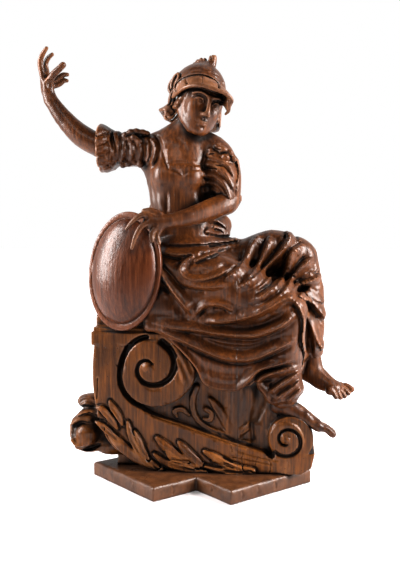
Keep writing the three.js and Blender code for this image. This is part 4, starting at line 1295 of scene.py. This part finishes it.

# %% [markdown]
# ## The finish: stained and waxed hardwood
# Old walnut-brown carving is three things at once: a grain that runs up the block, a dark stain that sits in
# the hollows and is rubbed off the crests, and a wax that gives soft bright lights. The hollows are painted darker
# still, as painted shade. All of it is made from noise in real millimetres, stretched along the grain, so it stays
# the right size when the part is used again.

# %% Colours and the node helper
def linear(code):
    """An sRGB hex colour as linear red, green, blue and alpha."""
    parts = [int(code[i:i + 2], 16) / 255 for i in (1, 3, 5)]
    return [v / 12.92 if v <= 0.04045 else ((v + 0.055) / 1.055) ** 2.4 for v in parts] + [1.0]


def add(tree, kind, inputs, output=0, **plain):
    """Adds a node: each input is a number, a hex colour or a link, and plain words are its settings."""
    node = tree.nodes.new("ShaderNode" + kind)
    for key, value in plain.items():
        setattr(node, key, value)
    for key, value in inputs.items():
        if isinstance(value, bpy.types.NodeSocket):
            tree.links.new(value, node.inputs[key])
        else:
            node.inputs[key].default_value = linear(value) if isinstance(value, str) else value
    return node.outputs[output] if node.outputs else node


print("mid brown in linear light:", [round(v, 3) for v in linear("#7a4a25")])

# %% [markdown]
# Real wood has several grains at once: clouds of colour as wide as a hand, streaks of the year rings, fibres and
# short pores. Each is one noise whose size across and along the grain is in millimetres. The fibres and pores of
# real wood are finer than this, and are drawn as coarse as it takes for them to show.

# %% The sizes of the grain
PATTERNS = {
    # size across and along in mm, detail, roughness, distortion, and whether it turns with the grain
    "cloud": (90, 160, 3.0, 0.55, 0.0, True),
    "streak": (7, 150, 5.0, 0.6, 0.25, True),
    "fibre": (1.6, 34, 3.0, 0.6, 0.0, True),
    "pores": (0.9, 7, 2.0, 0.5, 0.0, True),
    "patch": (26, 34, 3.0, 0.55, 0.0, False),
    "chop": (14, 22, 2.0, 0.55, 0.0, False),
    "infested": (60, 60, 1.0, 0.55, 0.0, False),
    "wobble": (30, 60, 2.0, 0.55, 0.0, False),
}
HOLE_SPACING = (15, 19)


def sized(tree, across, along, turn=(0, 0, 0)):
    """Coordinates that count 1 for each size across the grain and each size along it."""
    place = add(tree, "TexCoord", {}, "Object")
    scale = (1000 / across, 1000 / across, 1000 / along)
    return add(tree, "Mapping", {"Vector": place, "Rotation": turn, "Scale": scale})


def grain_noises(tree, turn):
    """One noise for each pattern."""
    noises = {}
    for name, (across, along, detail, rough, twist, turns) in PATTERNS.items():
        place = sized(tree, across, along, turn if turns else (0, 0, 0))
        noises[name] = add(tree, "TexNoise", {"Vector": place, "Scale": 1.0, "Detail": detail, "Roughness": rough,
                                              "Distortion": twist})
    return noises


print("patterns:", ", ".join(PATTERNS))

# %% [markdown]
# Colour goes on in the order it came to the wood: the grain itself, then the crests rubbed paler by hands, then
# the stain and old wax in the hollows, painted darker still as shade, then worm holes and the glue line. Worm holes
# are cells of a Voronoi pattern, kept only where a wide noise says that the beetles were.

# %% Colour of the wood
SEAM_X = 112.0                   # the glue line between two boards of the block


def wood_colour(tree, grain, tones, stain_and_shade_tone, crest_tone, holes, stain_and_shade_strength):
    """The colour, the grime and painted shade in the hollows, and the worm holes."""
    clouded = add(tree, "Math", {0: grain["cloud"], 1: 0.38}, operation="MULTIPLY")
    figure_of_grain = add(tree, "Math", {0: grain["streak"], 1: 0.62, 2: clouded}, operation="MULTIPLY_ADD")
    base = tones[0]
    for low, high, tone in ((0.34, 0.5, tones[1]), (0.5, 0.66, tones[2])):
        part = add(tree, "MapRange", {0: figure_of_grain, 1: low, 2: high})
        base = add(tree, "Mix", {0: part, 6: base, 7: tone}, 2, data_type="RGBA")
    dark_fibre = add(tree, "MapRange", {0: grain["fibre"], 1: 0.5, 2: 0.72, 4: 0.45})
    base = add(tree, "Mix", {0: dark_fibre, 6: base, 7: tones[0]}, 2, data_type="RGBA")

    crest = add(tree, "Attribute", {}, "Fac", attribute_name="crest")
    rub = add(tree, "MapRange", {0: crest, 1: 0.10, 2: 0.62})
    patchy = add(tree, "MapRange", {0: grain["patch"], 1: 0.3, 2: 0.62, 3: 0.35 * 0.62, 4: 0.62})
    rub = add(tree, "Math", {0: rub, 1: patchy}, operation="MULTIPLY")
    base = add(tree, "Mix", {0: rub, 6: base, 7: crest_tone}, 2, data_type="RGBA")

    # painted shade and stain: the hollows are mixed towards a near-black tone
    hollow = add(tree, "Attribute", {}, "Fac", attribute_name="hollow")
    grime_and_shade = add(tree, "Math", {0: grain["patch"], 1: 0.14, 2: hollow}, operation="MULTIPLY_ADD")
    grime_and_shade = add(tree, "MapRange", {0: grime_and_shade, 1: 0.26, 2: 0.80})
    stain_and_shade = add(tree, "Math", {0: grime_and_shade, 1: 0.93 * stain_and_shade_strength}, operation="MULTIPLY")
    base = add(tree, "Mix", {0: stain_and_shade, 6: base, 7: stain_and_shade_tone}, 2, data_type="RGBA")

    spaced = sized(tree, *HOLE_SPACING)
    cells = add(tree, "TexVoronoi", {"Vector": spaced, "Scale": 1.0, "Randomness": 1.0}, "Distance")
    hole = add(tree, "MapRange", {0: cells, 1: 0.055, 2: 0.10, 3: 1.0, 4: 0.0})
    infested = add(tree, "MapRange", {0: grain["infested"], 1: holes, 2: holes + 0.06})
    hole = add(tree, "Math", {0: hole, 1: infested}, operation="MULTIPLY")
    dark = add(tree, "Math", {0: hole, 1: 0.9}, operation="MULTIPLY")
    return add(tree, "Mix", {0: dark, 6: base, 7: "#150a05"}, 2, data_type="RGBA"), grime_and_shade, hole


def glue_line(tree, wobble):
    """1 on the line where two boards of the block meet, a little less high up."""
    place = add(tree, "SeparateXYZ", {0: add(tree, "TexCoord", {}, "Object")})
    across = add(tree, "Math", {0: wobble, 1: 0.004, 2: place}, operation="MULTIPLY_ADD")
    across = add(tree, "Math", {0: across, 1: SEAM_X / 1000}, operation="SUBTRACT")
    across = add(tree, "Math", {0: across}, operation="ABSOLUTE")
    line = add(tree, "MapRange", {0: across, 1: 0.0004, 2: 0.0016, 3: 1.0, 4: 0.0})
    fade = add(tree, "MapRange", {0: place.node.outputs[2], 1: 0.12, 2: 0.66, 3: 1.0, 4: 0.75})
    return add(tree, "Math", {0: line, 1: fade}, operation="MULTIPLY")


print("glue line at", SEAM_X, "mm")

# %% [markdown]
# The gloss is old wax over an oily finish, so it has two layers: the wood, satin and rougher in the hollows where
# the stain and painted shade go, and a thin clear coat. The wood keeps the usual refractive index of 1.5 and the wax
# has 1.45. Chop marks, fibres, pores, holes and the glue line stand up or down by parts of a millimetre, and are a
# bump.

# %% The waxed finish
BUMP_HEIGHT = 0.0011


def wood_finish(name, tones, stain_and_shade_tone, crest_tone, gloss=0.34, turn=(0, 0, 0), seam=True, holes=0.55,
                stain_and_shade_strength=1.0):
    """Stained and waxed wood: tones are the dark, middle and light of the grain."""
    material = bpy.data.materials.new(name)
    material.use_nodes = True
    tree = material.node_tree
    tree.nodes.clear()
    grain = grain_noises(tree, turn)
    base, grime_and_shade, hole = wood_colour(tree, grain, tones, stain_and_shade_tone, crest_tone, holes, stain_and_shade_strength)
    height = add(tree, "Math", {0: grain["streak"], 1: 0.8}, operation="MULTIPLY")
    reliefs = [(grain["fibre"], 0.35), (hole, -2.5), (grain["pores"], 0.14), (grain["chop"], 1.5)]
    if seam:
        line = glue_line(tree, grain["wobble"])
        dark = add(tree, "Math", {0: line, 1: 0.6}, operation="MULTIPLY")
        base = add(tree, "Mix", {0: dark, 6: base, 7: "#1a0d06"}, 2, data_type="RGBA")
        reliefs.append((line, -1.6))
    for relief, rise in reliefs:
        height = add(tree, "Math", {0: relief, 1: rise, 2: height}, operation="MULTIPLY_ADD")
    bump = add(tree, "Bump", {"Strength": 0.55, "Distance": BUMP_HEIGHT, "Height": height})
    dull = add(tree, "Math", {0: grime_and_shade, 1: 0.5, 2: grain["streak"]}, operation="MULTIPLY_ADD")
    dull = add(tree, "MapRange", {0: dull, 1: 0.3, 2: 1.1, 3: gloss, 4: gloss + 0.24})
    shader = add(tree, "BsdfPrincipled", {"Base Color": base, "Roughness": dull, "Specular IOR Level": 0.3,
                                          "Coat Weight": 0.18, "Coat Roughness": 0.18, "Coat IOR": 1.45,
                                          "Normal": bump, "Coat Normal": bump})
    add(tree, "OutputMaterial", {0: shader})
    return material


# the fourth colour of each finish is the near-black of stain and painted shade in its hollows
carved_finish = wood_finish("Waxed carved wood", ("#2a1306", "#4c290e", "#6d3d15"), "#0a0401", "#8a5f40")
scroll_finish = wood_finish("Waxed scroll wood", ("#2b1404", "#563009", "#7d4812"), "#080301", "#8b5a2e", holes=0.44)
shield_finish = wood_finish("Smooth shield wood", ("#2f1508", "#4d260f", "#653619"), "#140703", "#744223", 0.3,
                            seam=False, holes=0.66)
plinth_finish = wood_finish("Dark plinth board", ("#100704", "#24130a", "#3a2111"), "#0a0402", "#6a4428", 0.36,
                            (0, math.radians(90), 0), False, 0.6, 0.5)

# %% [markdown]
# ## Tie the pieces to the frame
# Each piece says which solid of the imported model it stands for and which finish it takes. The carving is
# one piece of wood on the real object, so all its parts ride on the one body that never moves.

# %% Ride, replace and finish
STANDS_FOR = {
    # piece: the solid it replaces, its slot and its finish; every other piece is part of the figure
    "scroll_console": ("figure_and_scroll", "carved_wood", scroll_finish),
    "oval_shield": ("shield", "shield_wood", shield_finish),
    "plinth_board": ("plinth", "plinth_wood", plinth_finish),
}
FIGURE = ("figure_and_scroll", "carved_wood", carved_finish)
for name, piece in PIECES.items():
    node, slot, finish = STANDS_FOR.get(name, FIGURE)
    piece.data.materials.append(finish)
    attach(piece, "root")
    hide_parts(node)
print("pieces:", len(PIECES))

# %% [markdown]
# ## The studio
# A pale floor runs back into a white room that is bright only behind the carving. That leaves its front to two
# tall soft boxes at the sides, which rake over the folds and give the wax its long pale lights, and a weak
# light from the front that opens the shade a little.

# %% Floor and room
floor_mesh = bpy.data.meshes.new("studio_floor")
REACH = 30.0
corners = [(-REACH, -REACH, 0), (REACH, -REACH, 0), (REACH, REACH, 0), (-REACH, REACH, 0)]
floor_mesh.from_pydata(corners, [], [(0, 1, 2, 3)])
floor = bpy.data.objects.new("studio_floor", floor_mesh)
bpy.context.collection.objects.link(floor)
floor.location.z = -0.0006
floor_finish = bpy.data.materials.new("Pale floor")
floor_finish.use_nodes = True
paint = floor_finish.node_tree
paint.nodes.clear()
back = add(paint, "SeparateXYZ", {0: add(paint, "NewGeometry", {}, "Position")}, 1)
glow = add(paint, "MapRange", {0: back, 1: -0.3, 2: 1.6, 3: 0.08, 4: 1.05})
coat = add(paint, "BsdfPrincipled", {"Base Color": "#dedcde", "Roughness": 0.7, "Specular IOR Level": 0.0,
                                     "Emission Color": "#ffffff", "Emission Strength": glow})
add(paint, "OutputMaterial", {0: coat})
floor_mesh.materials.append(floor_finish)

world = bpy.data.worlds.new("White room")
bpy.context.scene.world = world
world.use_nodes = True
sky = world.node_tree
sky.nodes.clear()
behind = add(sky, "SeparateXYZ", {0: add(sky, "TexCoord", {}, "Generated")}, 1)
white = add(sky, "MapRange", {0: behind, 1: -0.05, 2: 0.6, 3: 0.03, 4: 1.0})
add(sky, "OutputWorld", {0: add(sky, "Background", {0: "#ffffff", 1: white})})
print("floor reaches", REACH, "m each way")

# %% [markdown]
# Each soft box is a rectangle aimed at the middle of the carving. All three are a little warm.

# %% Lights
MIDDLE = (0.0, 0.0, 0.62)
LAMPS = {
    # where it stands, its width and height, its power in watts and its tint
    "Left soft box": ((-2.2, -0.55, 1.4), (0.7, 1.9), 160, "#fffaf8"),
    "Right soft box": ((2.3, -0.3, 1.5), (0.7, 1.9), 215, "#fffaf8"),
    "Front light": ((-0.3, -2.4, 2.6), (1.3, 0.9), 20, "#fffaf6"),
}
for name, (place, size, power, tint) in LAMPS.items():
    lamp = bpy.data.lights.new(name, "AREA")
    lamp.shape = "RECTANGLE"
    lamp.size, lamp.size_y = size
    lamp.energy = power
    lamp.color = linear(tint)[:3]
    lamp_object = bpy.data.objects.new(name, lamp)
    lamp_object.location = place
    lamp_object.rotation_euler = (Vector(MIDDLE) - Vector(place)).to_track_quat("-Z", "Y").to_euler()
    bpy.context.collection.objects.link(lamp_object)
print("lamps:", len(LAMPS))

# %% [markdown]
# The camera stands a little to the right of the middle, at the height of her waist, and looks slightly down. The
# picture's gamma is set a little low, because old wax has deep shade beside bright lights.

# %% Camera and tone
CAMERA_PLACE = (0.245, -2.172, 0.709)
CAMERA_YAW = 6.5
CAMERA_PITCH = 3.9
camera_data = bpy.data.cameras.new("Camera")
camera_data.sensor_fit = "VERTICAL"
camera_data.sensor_height = 24.0
camera_data.lens = 32.36
camera = bpy.data.objects.new("Camera", camera_data)
camera.location = CAMERA_PLACE
camera.rotation_euler = (math.radians(90 - CAMERA_PITCH), 0, math.radians(CAMERA_YAW))
bpy.context.collection.objects.link(camera)
bpy.context.scene.camera = camera
bpy.context.scene.view_settings.view_transform = "Standard"
bpy.context.scene.view_settings.gamma = 0.84
print("camera at", CAMERA_PLACE, "with a lens of", camera_data.lens, "mm")
